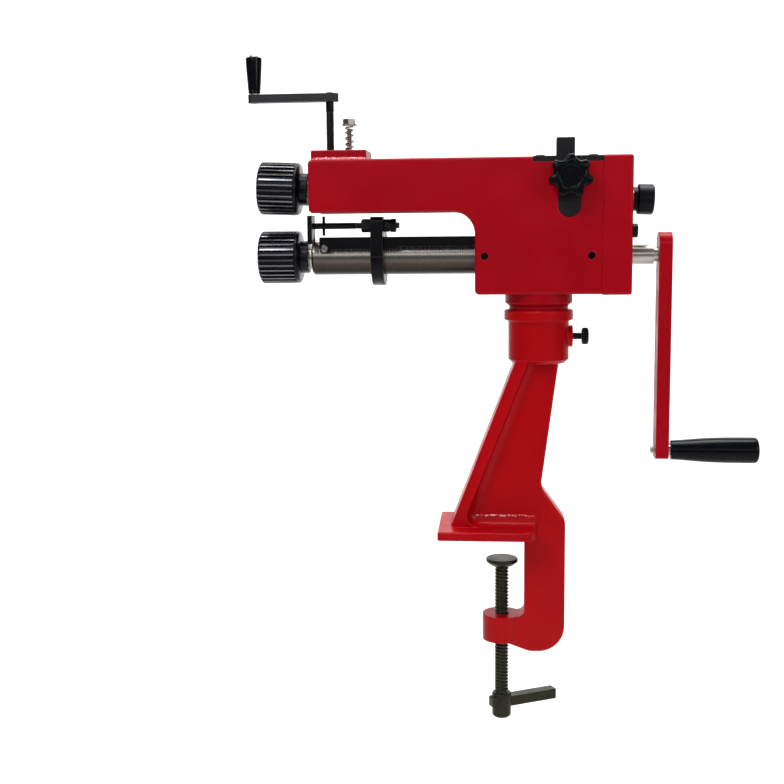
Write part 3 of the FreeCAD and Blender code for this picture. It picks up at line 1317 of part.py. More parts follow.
def adjusting_grip():
    """Tapered grip that turns on its pin, wider at the top."""
    foot = ADJUST_BAR_BOTTOM + ADJUST_BAR_HEIGHT + 1.2
    swell = ADJUST_GRIP_R - ADJUST_GRIP_FOOT_R
    profile = [
        (0, ADJUST_GRIP_FOOT_R),
        (ADJUST_GRIP_HEIGHT * 0.3, ADJUST_GRIP_FOOT_R + 0.3 * swell),
        (ADJUST_GRIP_HEIGHT * 0.6, ADJUST_GRIP_FOOT_R + 0.65 * swell),
        (ADJUST_GRIP_HEIGHT - ADJUST_GRIP_ROUND, ADJUST_GRIP_R),
    ]
    x = ADJUST_X - ADJUST_THROW
    grip = soft_turned(profile, ADJUST_GRIP_ROUND, (x, 0, foot), Z_AXIS)
    bore = rod(ADJUST_PIN_R + RUNNING, ADJUST_GRIP_HEIGHT + 2, (x, 0, foot - 1), Z_AXIS)
    return on_head(grip.cut(bore))


def lifting_bolt():
    """Hex bolt and washer that pull the sleeve up through the spring."""
    end = lift_bolt_end()
    stem = rod(LIFT_BOLT_R, LIFT_HEAD_BOTTOM - end - THRUST_GAP, (LIFT_X, 0, end + THRUST_GAP), Z_AXIS)
    head = hex_bar(LIFT_HEAD_FLATS, LIFT_HEAD_HEIGHT, (LIFT_X, 0, LIFT_HEAD_BOTTOM), Z_AXIS)
    crown = [
        (0, LIFT_HEAD_FLATS / 2 + 2),
        (LIFT_HEAD_HEIGHT - 1.2, LIFT_HEAD_FLATS / 2 + 1.2),
        (LIFT_HEAD_HEIGHT, LIFT_HEAD_FLATS / 2 - 0.6),
    ]
    head = head.common(turned(crown, (LIFT_X, 0, LIFT_HEAD_BOTTOM), Z_AXIS))
    washer = rod(LIFT_WASHER_R, LIFT_WASHER_THICK, (LIFT_X, 0, LIFT_HEAD_BOTTOM - LIFT_WASHER_THICK), Z_AXIS)
    return on_head(stem.fuse([washer, head]))


def tangent_arc(start, heading, end):
    """Arc that leaves start along heading and stops at end."""
    chord = end - start
    reach = chord.Length ** 2 / (2 * chord.dot(heading))
    elbow = start + heading * reach
    middle = (start + end) * 0.5
    inward = middle - elbow
    depth = inward.Length
    radius = reach * chord.Length / 2 / depth
    inward.normalize()
    point = elbow + inward * (math.sqrt(reach * reach + radius * radius) - radius)
    return Part.Arc(start, point, end).toShape()


def helix_path(radius, rise, turns, steps_per_turn):
    """Biarcs along a helix, one pair for each part of a turn."""
    count = int(round(turns * steps_per_turn))
    lead = rise / (2 * math.pi * turns)
    slope = math.sqrt(radius * radius + lead * lead)

    def place(angle):
        return V(radius * math.cos(angle), radius * math.sin(angle), lead * angle)

    def heading(angle):
        return V(-radius * math.sin(angle) / slope, radius * math.cos(angle) / slope, lead / slope)

    edges = []
    samples = []
    for i in range(count):
        a0 = 2 * math.pi * turns * i / count
        a1 = 2 * math.pi * turns * (i + 1) / count
        p0, p1, t0, t1 = place(a0), place(a1), heading(a0), heading(a1)
        span = p1 - p0
        both = t0 + t1
        bend = 2 * (1 - t0.dot(t1))
        lean = span.dot(both)
        reach = (-lean + math.sqrt(lean * lean + bend * span.dot(span))) / bend
        joint = (p0 + t0 * reach + p1 - t1 * reach) * 0.5
        turn_heading = (p1 - t1 * reach) - (p0 + t0 * reach)
        turn_heading.normalize()
        edges.append(tangent_arc(p0, t0, joint))
        edges.append(tangent_arc(joint, turn_heading, p1))
        samples += [p0, joint]
    samples.append(place(2 * math.pi * turns))
    return Part.Wire(edges), samples, heading(0)


def least_gap(samples, wire_r, skip):
    """Least gap between stretches of a tube that are not neighbours."""
    least = None
    for i, a in enumerate(samples):
        for b in samples[i + skip:]:
            gap = a.distanceToPoint(b) - 2 * wire_r
            if least is None or gap < least:
                least = gap
    return least


def lifting_spring():
    """Open coil spring between the front plate and the bolt's washer."""
    low = HOUSING_TOP + FRONT_PLATE_THICK + SPRING_WIRE_R + 0.1
    high = LIFT_HEAD_BOTTOM - LIFT_WASHER_THICK - SPRING_WIRE_R - 0.1
    path, samples, heading = helix_path(SPRING_MEAN_R, high - low, SPRING_TURNS, 4)
    gap = least_gap(samples, SPRING_WIRE_R, 5)
    print("lifting_spring: turns", SPRING_TURNS, "least gap to itself", round(gap, 3), "mm")
    ring = Part.Wire(Part.makeCircle(SPRING_WIRE_R, samples[0], heading))
    coil = path.makePipeShell([ring], True, False)
    coil.translate(V(LIFT_X, 0, low))
    return on_head(coil)


# Depth fence

def sleeve_clearance_bar(play):
    """The lower sleeve's own room, for cutting what sits on it."""
    length = HOUSING_FRONT - LOWER_SLEEVE_FRONT + CUT_REACH
    return rod(LOWER_SLEEVE_R + play, length, (LOWER_SLEEVE_FRONT - 30, 0, 0), X_AXIS)


def guide_bar():
    """Flat bar beside the sleeve, seated in the housing, with a bolted front lug."""
    bar = guide_prism(GUIDE_FRONT, HOUSING_FRONT + GUIDE_SOCKET - 0.5, 0)
    back = -GUIDE_BACK
    front = back - GUIDE_THICK
    lug_low = GUIDE_BOLT_Z - GUIDE_BOLT_HEAD_R
    lug = slab(
        [
            (GUIDE_FRONT, lug_low, 2),
            (GUIDE_FRONT + GUIDE_LUG_LENGTH, lug_low, 2),
            (GUIDE_FRONT + GUIDE_LUG_LENGTH, GUIDE_BOTTOM + 1, 0),
            (GUIDE_FRONT, GUIDE_BOTTOM + 1, 0),
        ],
        front, back,
    )
    lip_low = GUIDE_BOTTOM - GUIDE_LIP_DEPTH
    lip = slab(
        [
            (GUIDE_FRONT + 4, lip_low, 0),
            (GUIDE_FRONT + GUIDE_LIP_LENGTH - 8, lip_low, 0),
            (GUIDE_FRONT + GUIDE_LIP_LENGTH, GUIDE_BOTTOM + 0.5, 0),
            (GUIDE_FRONT + 4, GUIDE_BOTTOM + 0.5, 0),
        ],
        front, back,
    )
    bolt_hole = rod(GUIDE_BOLT_R + SNUG, 40, (GUIDE_BOLT_X, front - 5, GUIDE_BOLT_Z), Y_AXIS)
    body = bar.fuse([lug, lip]).cut([sleeve_clearance_bar(RUNNING), bolt_hole])
    return on_head(body.removeSplitter())


def guide_bolt_tip():
    """Distance of the guide bolt's tip from the sleeve's middle plane."""
    low = GUIDE_BOLT_Z - GUIDE_BOLT_R
    return math.sqrt(BUSH_R ** 2 - low ** 2) + 0.6


def guide_bolt():
    """Button-headed bolt through the guide bar's lug into the sleeve."""
    face = -GUIDE_BACK - GUIDE_THICK
    length = -face - guide_bolt_tip()
    profile = [
        (0, 2.4),
        (1.0, 3.8),
        (GUIDE_BOLT_HEAD - 0.8, GUIDE_BOLT_HEAD_R),
        (GUIDE_BOLT_HEAD, GUIDE_BOLT_HEAD_R),
        (GUIDE_BOLT_HEAD, GUIDE_BOLT_R),
        (GUIDE_BOLT_HEAD + length, GUIDE_BOLT_R),
    ]
    bolt = turned(profile, (GUIDE_BOLT_X, face - GUIDE_BOLT_HEAD, GUIDE_BOLT_Z), Y_AXIS)
    socket = hex_bar(3, 2.5, (GUIDE_BOLT_X, face - GUIDE_BOLT_HEAD - 0.5, GUIDE_BOLT_Z), Y_AXIS)
    return on_head(bolt.cut(socket))


def fence_ring():
    """Ring clamp on the sleeve with a boss for the rod and a slot for the guide bar."""
    x0 = FENCE_RING_X - FENCE_RING_WIDTH / 2
    x1 = FENCE_RING_X + FENCE_RING_WIDTH / 2
    ring = rod(FENCE_RING_R, FENCE_RING_WIDTH, (x0, 0, 0), X_AXIS)
    boss = block(x0, x1, -FENCE_BOSS_OUT, -FENCE_BOSS_IN, 0, FENCE_BOSS_TOP)
    tops = [
        e for e in boss.Edges
        if abs(e.Vertexes[0].X - e.Vertexes[-1].X) > 1 and e.CenterOfMass.z > FENCE_BOSS_TOP - 1
    ]
    boss = boss.makeFillet(7, tops)
    slot = block(
        x0 - 1, x1 + 1, -GUIDE_BACK - GUIDE_THICK - FENCE_PLAY, -GUIDE_BACK + FENCE_PLAY,
        GUIDE_BOTTOM - GUIDE_LIP_DEPTH - FENCE_PLAY, GUIDE_BOTTOM + GUIDE_HEIGHT + FENCE_PLAY,
    )
    cuts = [
        sleeve_clearance_bar(RUNNING),
        slot,
        rod(ROD_R + SNUG, FENCE_RING_WIDTH + 2, (x0 - 1, ROD_Y, ROD_Z), X_AXIS),
    ]
    return on_head(ring.fuse(boss).cut(cuts).removeSplitter())


def fence_rod():
    """Round rod that carries the fence plate."""
    front = FENCE_PLATE_X + FENCE_PLATE_THICK
    body = rod(ROD_R, ROD_REAR - front, (front, ROD_Y, ROD_Z), X_AXIS)
    tenon = rod(ROD_R - 1, FENCE_PLATE_THICK - 1, (front - FENCE_PLATE_THICK + 1, ROD_Y, ROD_Z), X_AXIS)
    hole = rod(CROSS_PIN_R + SNUG, 30, (CROSS_PIN_X, ROD_Y, ROD_Z - 15), Z_AXIS)
    return on_head(body.fuse(tenon).cut(hole))


def fence_nut(x, length):
    """Chamfered hex nut on the rod."""
    nut = hex_bar(NUT_FLATS, length, (x, ROD_Y, ROD_Z), X_AXIS)
    outside = [
        (0, NUT_FLATS / 2),
        (1, NUT_FLATS / 2 + 1.2),
        (length - 1, NUT_FLATS / 2 + 1.2),
        (length, NUT_FLATS / 2),
    ]
    nut = nut.common(turned(outside, (x, ROD_Y, ROD_Z), X_AXIS))
    return nut.cut(rod(ROD_R + SNUG, length + 2, (x - 1, ROD_Y, ROD_Z), X_AXIS))


def fence_nuts():
    """One long nut in front of the ring and lock nuts behind it."""
    front = FENCE_RING_X - FENCE_RING_WIDTH / 2 - NUT_FRONT_LENGTH - 0.1
    nuts = [fence_nut(front, NUT_FRONT_LENGTH)]
    for i in range(NUT_REAR_COUNT):
        x = FENCE_RING_X + FENCE_RING_WIDTH / 2 + 0.1 + i * (NUT_REAR_LENGTH + 0.1)
        nuts.append(fence_nut(x, NUT_REAR_LENGTH))
    return on_head(Part.makeCompound(nuts))


def fence_plate():
    """Stop plate for the sheet's edge, notched over the guide bar."""
    x1 = FENCE_PLATE_X + FENCE_PLATE_THICK
    plate = block(FENCE_PLATE_X, x1, -FENCE_PLATE_OUT, -FENCE_PLATE_IN, FENCE_PLATE_BOTTOM, FENCE_PLATE_TOP)
    corners = [e for e in plate.Edges if abs(e.Vertexes[0].X - e.Vertexes[-1].X) > 1]
    plate = plate.makeFillet(2, corners)
    notch = block(
        FENCE_PLATE_X - 1, x1 + 1, -GUIDE_BACK - GUIDE_THICK - FENCE_PLAY, -GUIDE_BACK + FENCE_PLAY,
        0, GUIDE_BOTTOM + GUIDE_HEIGHT + FENCE_PLAY,
    )
    hole = rod(ROD_R - 1 + SNUG, FENCE_PLATE_THICK + 2, (FENCE_PLATE_X - 1, ROD_Y, ROD_Z), X_AXIS)
    return on_head(plate.cut([notch, sleeve_clearance_bar(FENCE_PLAY), hole]))


def fence_pin():
    """Cross pin through the rod."""
    foot = (CROSS_PIN_X, ROD_Y, ROD_Z - CROSS_PIN_LENGTH / 2)
    return on_head(rod(CROSS_PIN_R, CROSS_PIN_LENGTH, foot, Z_AXIS))


def all_parts():
    """Every sub-part by name."""
    lower_rear = HOUSING_REAR - SLEEVE_REAR_SETBACK
    return {
        "stand_casting": stand_casting(),
        "clamp_pad": clamp_pad(),
        "clamp_screw": clamp_screw(),
        "clamp_tee_bar": clamp_tee_bar(),
        "lock_slug": lock_slug(),
        "lock_screw": lock_screw(),
        "head_casting": head_casting(),
        "gear_cover": gear_cover(),
        "cover_screws": cover_screws(),
        "front_top_plate": front_top_plate(),
        "pivot_hanger": pivot_hanger(),
        "hanger_screws": hanger_screws(),
        "pivot_pins": pivot_pins(),
        "knob_stud": knob_stud(),
        "star_knob": star_knob(),
        "lower_sleeve": lower_sleeve(),
        "sleeve_set_screws": sleeve_set_screws(),
        "lower_bushes": on_head(bush_pair(LOWER_SLEEVE_FRONT, lower_rear)),
        "lower_shaft": lower_shaft(),
        "lower_keys": on_head(shaft_keys()),
        "lower_roll": on_head(feed_roll()),
        "lower_roll_screw": on_head(roll_screw()),
        "lower_gear": on_head(spur_gear(0)),
        "crank_arm": crank_arm(),
        "crank_screw": crank_screw(),
        "grip_pin": grip_pin(),
        "crank_grip": crank_grip(),
        "upper_sleeve": upper_sleeve(),
        "upper_bushes": upper_bushes(),
        "upper_shaft": upper_shaft(),
        "upper_keys": at_upper(shaft_keys()),
        "upper_roll": at_upper(feed_roll()),
        "upper_roll_screw": at_upper(roll_screw()),
        "upper_gear": at_upper(spur_gear(0.5)),
        "shaft_collar": shaft_collar(),
        "collar_set_screw": collar_set_screw(),
        "pressure_pad": pressure_pad(),
        "adjusting_screw": adjusting_screw(),
        "adjusting_crank": adjusting_crank(),
        "adjusting_grip_pin": adjusting_grip_pin(),
        "adjusting_grip": adjusting_grip(),
        "lifting_bolt": lifting_bolt(),
        "lifting_spring": lifting_spring(),
        "guide_bar": guide_bar(),
        "guide_bolt": guide_bolt(),
        "fence_ring": fence_ring(),
        "fence_rod": fence_rod(),
        "fence_nuts": fence_nuts(),
        "fence_plate": fence_plate(),
        "fence_pin": fence_pin(),
    }


def main():
    """Build every sub-part and write one STEP file for each."""
    os.makedirs("parts", exist_ok=True)
    for name, shape in all_parts().items():
        print(name, "solids", len(shape.Solids), "volume", round(shape.Volume, 1), "valid", shape.isValid())
        shape.exportStep("parts/" + name + ".step")


main()
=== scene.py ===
# %% [markdown]
# # A hand-cranked bead roller, dressed for its picture
#
# The machine is a bench tool: a red casting clamps to a table's edge and carries a long
# arm with two ribbed rolls. The solids come ready made, in metres, with every moving
# body already hinged. This lesson gives them paint, metal and plastic, and makes again
# the pieces whose fine shape the solids leave plain, such as threads and moulded knobs.

# %% Load the machine
import json
import math
import random

import bmesh
import bpy
from mathutils import Matrix, Vector


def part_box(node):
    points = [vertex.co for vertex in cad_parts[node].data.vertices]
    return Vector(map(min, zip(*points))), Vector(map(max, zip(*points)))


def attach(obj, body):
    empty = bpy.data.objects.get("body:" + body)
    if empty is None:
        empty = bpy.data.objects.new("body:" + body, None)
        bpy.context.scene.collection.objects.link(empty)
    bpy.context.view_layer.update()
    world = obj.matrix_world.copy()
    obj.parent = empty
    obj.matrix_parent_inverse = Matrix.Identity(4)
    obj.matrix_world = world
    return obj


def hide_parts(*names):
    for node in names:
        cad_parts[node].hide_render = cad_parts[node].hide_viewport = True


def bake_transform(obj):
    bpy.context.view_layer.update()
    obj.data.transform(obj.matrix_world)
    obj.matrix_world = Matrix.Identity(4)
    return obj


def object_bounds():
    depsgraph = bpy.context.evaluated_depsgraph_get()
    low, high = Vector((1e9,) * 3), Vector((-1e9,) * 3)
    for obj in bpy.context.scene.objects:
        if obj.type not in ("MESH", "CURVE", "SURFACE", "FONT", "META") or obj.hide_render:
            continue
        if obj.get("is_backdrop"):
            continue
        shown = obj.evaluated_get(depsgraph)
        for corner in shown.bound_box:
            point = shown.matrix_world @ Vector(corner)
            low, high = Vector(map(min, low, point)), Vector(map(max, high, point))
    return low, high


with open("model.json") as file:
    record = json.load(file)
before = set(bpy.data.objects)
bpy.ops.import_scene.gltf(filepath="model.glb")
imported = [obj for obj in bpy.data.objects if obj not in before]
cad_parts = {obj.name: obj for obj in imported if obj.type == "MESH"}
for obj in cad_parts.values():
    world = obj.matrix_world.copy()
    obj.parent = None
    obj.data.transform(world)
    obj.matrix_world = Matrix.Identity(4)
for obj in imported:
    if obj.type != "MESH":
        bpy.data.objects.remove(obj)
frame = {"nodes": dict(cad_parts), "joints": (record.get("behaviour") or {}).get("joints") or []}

CAD_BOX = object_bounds()
MM = 0.001

# %% [markdown]
# ## The camera
#
# The picture is taken from the operator's side, at the height between the two shafts. A
# camera is easiest to repeat as three turns: to the left, down and a small roll. The
# turns give the camera's own right, up and back directions, which are the columns of
# its matrix.

# %% Camera
TURN_LEFT = math.radians(5.2)
LOOK_DOWN = math.radians(7.62)
HORIZON_ROLL = math.radians(-0.57)
CAMERA_PLACE = Vector((-0.0012, -1.3552, 0.3411))
LENS_MM = 55.59
SENSOR_MM = 36.0


def camera_matrix(place, left, down, roll):
    """The camera's place and its right, up and back directions as one matrix."""
    flat = math.cos(down)
    ahead = Vector((-math.sin(left) * flat, math.cos(left) * flat, -math.sin(down)))
    level = Vector((math.cos(left), math.sin(left), 0))
    upright = level.cross(ahead)
    right = level * math.cos(roll) + upright * math.sin(roll)
    up = upright * math.cos(roll) - level * math.sin(roll)
    turn = Matrix((right, up, -ahead)).transposed()
    return Matrix.Translation(place) @ turn.to_4x4()


camera_data = bpy.data.cameras.new("camera")
camera_data.lens = LENS_MM
camera_data.sensor_width = SENSOR_MM
camera = bpy.data.objects.new("camera", camera_data)
bpy.context.scene.collection.objects.link(camera)
camera.matrix_world = camera_matrix(CAMERA_PLACE, TURN_LEFT, LOOK_DOWN, HORIZON_ROLL)
bpy.context.scene.camera = camera
print("camera stands", round(CAMERA_PLACE.length, 2), "m from the clamp")

# %% [markdown]
# ## Node helpers
#
# Every finish here is a Principled shader with a few nodes in front of it: noise that
# shifts the colour, noise that shifts the gloss, and a bump. The textures read object
# coordinates, which are metres on these pieces, so every size and depth below is in
# metres. A bevel node rounds the shading at edges, as paint and a deburred edge do.

# %% Node helpers
BEVEL_SAMPLES = 6
# A mix node carries numbers, vectors and colours; these are the places of its colours.
MIX_SHARE, MIX_FIRST, MIX_SECOND, MIX_RESULT = 0, 6, 7, 2


def finish(name, colour, rough, metal=0.0, specular=0.5, coat=0.0, coat_rough=0.08):
    """A new material whose uniform values sit on the shader's own sockets."""
    material = bpy.data.materials.new(name)
    material.use_nodes = True
    shader = material.node_tree.nodes["Principled BSDF"]
    shader.inputs["Base Color"].default_value = (*colour, 1)
    shader.inputs["Roughness"].default_value = rough
    shader.inputs["Metallic"].default_value = metal
    shader.inputs["Specular IOR Level"].default_value = specular
    shader.inputs["Coat Weight"].default_value = coat
    shader.inputs["Coat Roughness"].default_value = coat_rough
    return material


def node(material, kind, **values):
    """One node; values are its properties, or inputs when the name is an input's."""
    made = material.node_tree.nodes.new(kind)
    for key, value in values.items():
        label = key.replace("_", " ")
        if label in made.inputs:
            made.inputs[label].default_value = value
        else:
            setattr(made, key, value)
    return made


def wire(material, source, target):
    """Join an output to an input."""
    material.node_tree.links.new(source, target)


def grain(material, size, detail=3.0, stretch=(1, 1, 1)):
    """Noise whose blotches are about size metres wide."""
    place = node(material, "ShaderNodeTexCoord")
    scaled = node(material, "ShaderNodeMapping")
    scaled.inputs["Scale"].default_value = [s / size for s in stretch]
    noise = node(material, "ShaderNodeTexNoise", Scale=1.0, Detail=detail)
    wire(material, place.outputs["Object"], scaled.inputs["Vector"])
    wire(material, scaled.outputs["Vector"], noise.inputs["Vector"])
    return noise.outputs["Fac"]


def remap(material, value, low, high, out_low, out_high):
    """Stretch a value's middle range to a new range."""
    span = node(
        material, "ShaderNodeMapRange",
        From_Min=low, From_Max=high, To_Min=out_low, To_Max=out_high,
    )
    wire(material, value, span.inputs["Value"])
    return span.outputs["Result"]


def tint(material, mask, colour):
    """Mix another colour over the base where the mask is bright."""
    shader = material.node_tree.nodes["Principled BSDF"]
    base = shader.inputs["Base Color"]
    mix = node(material, "ShaderNodeMix", data_type="RGBA")
    if base.is_linked:
        wire(material, base.links[0].from_socket, mix.inputs[MIX_FIRST])
    else:
        mix.inputs[MIX_FIRST].default_value = base.default_value
    mix.inputs[MIX_SECOND].default_value = (*colour, 1)
    wire(material, mask, mix.inputs[MIX_SHARE])
    wire(material, mix.outputs[MIX_RESULT], base)


def gloss(material, value):
    """Let a value drive the roughness."""
    wire(material, value, material.node_tree.nodes["Principled BSDF"].inputs["Roughness"])


def relief(material, height, depth, edge=0.0008, coat=True):
    """Bump of a real depth, over edges rounded by the bevel node unless edge is zero."""
    shader = material.node_tree.nodes["Principled BSDF"]
    bump = node(material, "ShaderNodeBump", Distance=depth, Strength=1.0)
    if edge > 0:
        bevel = node(material, "ShaderNodeBevel", samples=BEVEL_SAMPLES, Radius=edge)
        wire(material, bevel.outputs["Normal"], bump.inputs["Normal"])
    wire(material, height, bump.inputs["Height"])
    wire(material, bump.outputs["Normal"], shader.inputs["Normal"])
    if coat:
        wire(material, bump.outputs["Normal"], shader.inputs["Coat Normal"])


def edge_mask(material, radius, low, high):
    """Bright on sharp edges, where the rounded normal leaves the face's own."""
    bevel = node(material, "ShaderNodeBevel", samples=BEVEL_SAMPLES, Radius=radius)
    face = node(material, "ShaderNodeNewGeometry")
    dot = node(material, "ShaderNodeVectorMath", operation="DOT_PRODUCT")
    wire(material, bevel.outputs["Normal"], dot.inputs[0])
    wire(material, face.outputs["Normal"], dot.inputs[1])
    return remap(material, dot.outputs["Value"], high, low, 0.0, 1.0)


print("helpers ready, bevels take", BEVEL_SAMPLES, "samples")

# %% [markdown]
# ## Red enamel
#
# The castings are sprayed in a thick glossy crimson over rough iron. Enamel looks deep
# because a clear skin lies over the colour, which is what the coat is for. The skin
# follows the casting's waves, so a slow bump of a few tenths of a millimetre breaks up
# each reflection, and one of a hundredth gives the pebbled look of sprayed paint.

# %% Red enamel
CLOUD = 0.09
WAVE = 0.03
PEEL = 0.0024
PEEL_SHARE = 0.025
WAVE_DEPTH = 0.00045
PAINT_EDGE = 0.0014
EDGE_GLINT_RADIUS = 0.0013


def red_enamel(name, colour, deep, bright):
    """Crimson enamel: cloudy colour, a painted highlight along the edges, slow waves and a faint
    orange peel.
    """
    paint = finish(name, colour, 0.36, specular=0.06, coat=0.10, coat_rough=0.12)
    tint(paint, remap(paint, grain(paint, CLOUD, 4), 0.4, 0.62, 0.0, 0.6), deep)
    # Painted highlight: the paint's edges are tinted paler, as if light caught them.
    tint(paint, edge_mask(paint, EDGE_GLINT_RADIUS, 0.80, 0.99), bright)
    gloss(paint, remap(paint, grain(paint, WAVE, 5), 0.35, 0.65, 0.28, 0.44))
    peel = node(paint, "ShaderNodeMath", operation="MULTIPLY_ADD")
    peel.inputs[1].default_value = PEEL_SHARE
    wire(paint, grain(paint, PEEL, 2), peel.inputs[0])
    wire(paint, grain(paint, WAVE, 2), peel.inputs[2])
    relief(paint, peel.outputs["Value"], WAVE_DEPTH, PAINT_EDGE)
    return paint


def glint_specks(paint, size, low, high, most, colour):
    """Painted glints: pale specks on a weld bead, where light would catch its ripples."""
    tint(paint, remap(paint, grain(paint, size, 3), low, high, 0.0, most), colour)


enamel = red_enamel(
    "red_enamel", (0.262, 0.0002, 0.0048), deep=(0.212, 0.0002, 0.0038), bright=(0.46, 0.009, 0.024)
)
# Painted light: a lighter copy of the same enamel for the stand, which looks brighter under the light
# than the head.
stand_lit_enamel = red_enamel(
    "stand_lit_enamel", (0.325, 0.0003, 0.0026), deep=(0.250, 0.0002, 0.0026), bright=(0.55, 0.012, 0.024)
)
# Painted highlight: the beads take paler copies of the enamel, with pale specks for glints.
bead_glint_enamel = red_enamel(
    "bead_glint_enamel", (0.50, 0.030, 0.055), deep=(0.36, 0.006, 0.018), bright=(0.92, 0.55, 0.57)
)
glint_specks(bead_glint_enamel, 0.0026, 0.50, 0.60, 0.85, (0.95, 0.66, 0.68))
seam_glint_enamel = red_enamel(
    "seam_glint_enamel", (0.40, 0.004, 0.010), deep=(0.30, 0.001, 0.004), bright=(0.75, 0.14, 0.16)
)
glint_specks(seam_glint_enamel, 0.0030, 0.52, 0.62, 0.8, (0.90, 0.50, 0.52))
print("enamel ready in", len((enamel, stand_lit_enamel, bead_glint_enamel, seam_glint_enamel)), "mixes")

# %% [markdown]
# ## Blackened steel
#
# The rolls, fence, guide and screws are steel with a black oxide finish: nearly black,
# faintly blue, with a soft metallic gloss. Their edges are tinted paler, partly rubbed wear
# and partly a painted highlight.

# %% Blackened steel
RUBBED_GLINT_EDGE = 0.0006


def blackened(name, colour, rough, edge_wear_and_glint=None):
    """Black oxide with a little oil, and paler edges where an edge colour is given: partly rubbed
    wear, partly a painted highlight.
    """
    black = finish(name, colour, rough, metal=0.88, specular=0.3)
    paler = [channel * 1.5 for channel in colour]
    tint(black, remap(black, grain(black, 0.02, 4), 0.45, 0.7, 0.0, 0.4), paler)
    if edge_wear_and_glint:
        # Paler edges: partly rubbed wear, partly a painted highlight.
        tint(black, edge_mask(black, RUBBED_GLINT_EDGE, 0.75, 0.985), edge_wear_and_glint)
    gloss(black, remap(black, grain(black, 0.012, 3), 0.3, 0.7, rough - 0.04, rough + 0.07))
    relief(black, grain(black, 0.0025, 2), 0.00002, RUBBED_GLINT_EDGE if edge_wear_and_glint else 0, coat=False)
    return black


oxide = blackened("black_oxide", (0.0066, 0.0060, 0.0074), 0.34, (0.10, 0.10, 0.11))
roll_black = blackened("roll_black", (0.0095, 0.0095, 0.0125), 0.27)
# Paler steel for the rib tops: partly rubbed wear, partly a painted highlight.
crest_steel = blackened("crest_steel", (0.105, 0.106, 0.118), 0.25)
plate_black = blackened("plate_black", (0.016, 0.0145, 0.0165), 0.46, (0.12, 0.12, 0.12))
bar_black = blackened("bar_black", (0.030, 0.028, 0.031), 0.44, (0.12, 0.12, 0.12))
tee_steel = blackened("tee_steel", (0.024, 0.024, 0.016), 0.40, (0.20, 0.20, 0.17))
print("black finishes ready")

# %% [markdown]
# ## Bright metals
#
# Turned steel shows fine rings from the tool, so its noise is squeezed along the axis
# until it becomes rings, and the shader's anisotropy smears the highlight across them.
# The lower sleeve has light painted into its colour: a painted highlight along its top
# and painted shade below, so three masks follow the height of its surface above or
# below its middle. Zinc plate is grey and cloudy. Bronze is warm.

# %% Bright metals
TOOL_RINGS = (2600, 3, 3)
TURNED_SMEAR = 0.3


def turned_steel(name, colour, rough):
    """Steel with fine rings round the X axis."""
    steel = finish(name, colour, rough, metal=1.0)
    steel.node_tree.nodes["Principled BSDF"].inputs["Anisotropic"].default_value = TURNED_SMEAR
    darker = [channel * 0.8 for channel in colour]
    tint(steel, remap(steel, grain(steel, 0.06, 3), 0.4, 0.65, 0.0, 0.4), darker)
    rings = grain(steel, 1.0, 2, TOOL_RINGS)
    gloss(steel, remap(steel, rings, 0.3, 0.7, rough - 0.004, rough + 0.006))
    relief(steel, grain(steel, 0.006, 2), 0.000008, 0.0006, coat=False)
    return steel


def height_mask(material, low, high):
    """0 at the first height of the resting machine, 1 at the second, even in between."""
    place = node(material, "ShaderNodeTexCoord")
    split = node(material, "ShaderNodeSeparateXYZ")
    wire(material, place.outputs["Object"], split.inputs["Vector"])
    return remap(material, split.outputs["Z"], low, high, 0.0, 1.0)


shaft_steel = turned_steel("shaft_steel", (0.37, 0.345, 0.30), 0.28)
sleeve_steel = turned_steel("sleeve_steel", (0.100, 0.080, 0.067), 0.27)
sleeve_painted_light_steel = turned_steel("sleeve_painted_light_steel", (0.052, 0.041, 0.035), 0.27)
SLEEVE_Z = sum(corner[2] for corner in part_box("lower_sleeve")) / 2
# Painted highlight along the lower sleeve's top and painted shade below its middle.
for low, high, colour in (
    (-0.0075, 0.0070, (0.33, 0.31, 0.28)),
    (0.0045, 0.0080, (0.62, 0.60, 0.56)),
    (-0.0080, -0.0175, (0.012, 0.0062, 0.0056)),
):
    tint(sleeve_painted_light_steel, height_mask(sleeve_painted_light_steel, SLEEVE_Z + low, SLEEVE_Z + high), colour)
gear_steel = turned_steel("gear_steel", (0.27, 0.26, 0.245), 0.36)

zinc = finish("zinc_plate", (0.17, 0.162, 0.152), 0.34, metal=1.0)
tint(zinc, remap(zinc, grain(zinc, 0.004, 3), 0.4, 0.6, 0.0, 0.5), (0.115, 0.105, 0.095))
# Painted highlight: the zinc's edges are tinted nearly white.
tint(zinc, edge_mask(zinc, 0.0004, 0.8, 0.98), (0.8, 0.78, 0.7))
relief(zinc, grain(zinc, 0.0008, 3), 0.00003, 0.0003, coat=False)

bronze = finish("bronze", (0.48, 0.29, 0.10), 0.36, metal=1.0)
tint(bronze, remap(bronze, grain(bronze, 0.006, 5), 0.4, 0.65, 0.0, 0.6), (0.28, 0.15, 0.05))
relief(bronze, grain(bronze, 0.0009, 3), 0.00004, 0.0004, coat=False)
print("bright metals ready")

# %% [markdown]
# ## Black plastic
#
# The grips and the star knob are moulded phenolic: hard, glossy black, with the faintest
# orange peel and a few dull scuffs where hands have been.

# %% Black plastic
SCUFF = 0.012
plastic = finish(
    "black_plastic", (0.0016, 0.0019, 0.0030), 0.20, specular=0.05, coat=0.07, coat_rough=0.1
)
scuffs = remap(plastic, grain(plastic, SCUFF, 5), 0.5, 0.75, 0.0, 0.5)
tint(plastic, scuffs, (0.0040, 0.0043, 0.0052))
gloss(plastic, remap(plastic, grain(plastic, SCUFF, 3), 0.4, 0.7, 0.17, 0.23))
relief(plastic, grain(plastic, 0.006, 1), 0.00002, 0.0008)
print("plastic ready")

# %% [markdown]
# ## Dress the ready-made solids
#
# A solid whose shape is already right only needs its material slot filled. Those that
# are made again further down are dressed too, so that no solid is left bare.

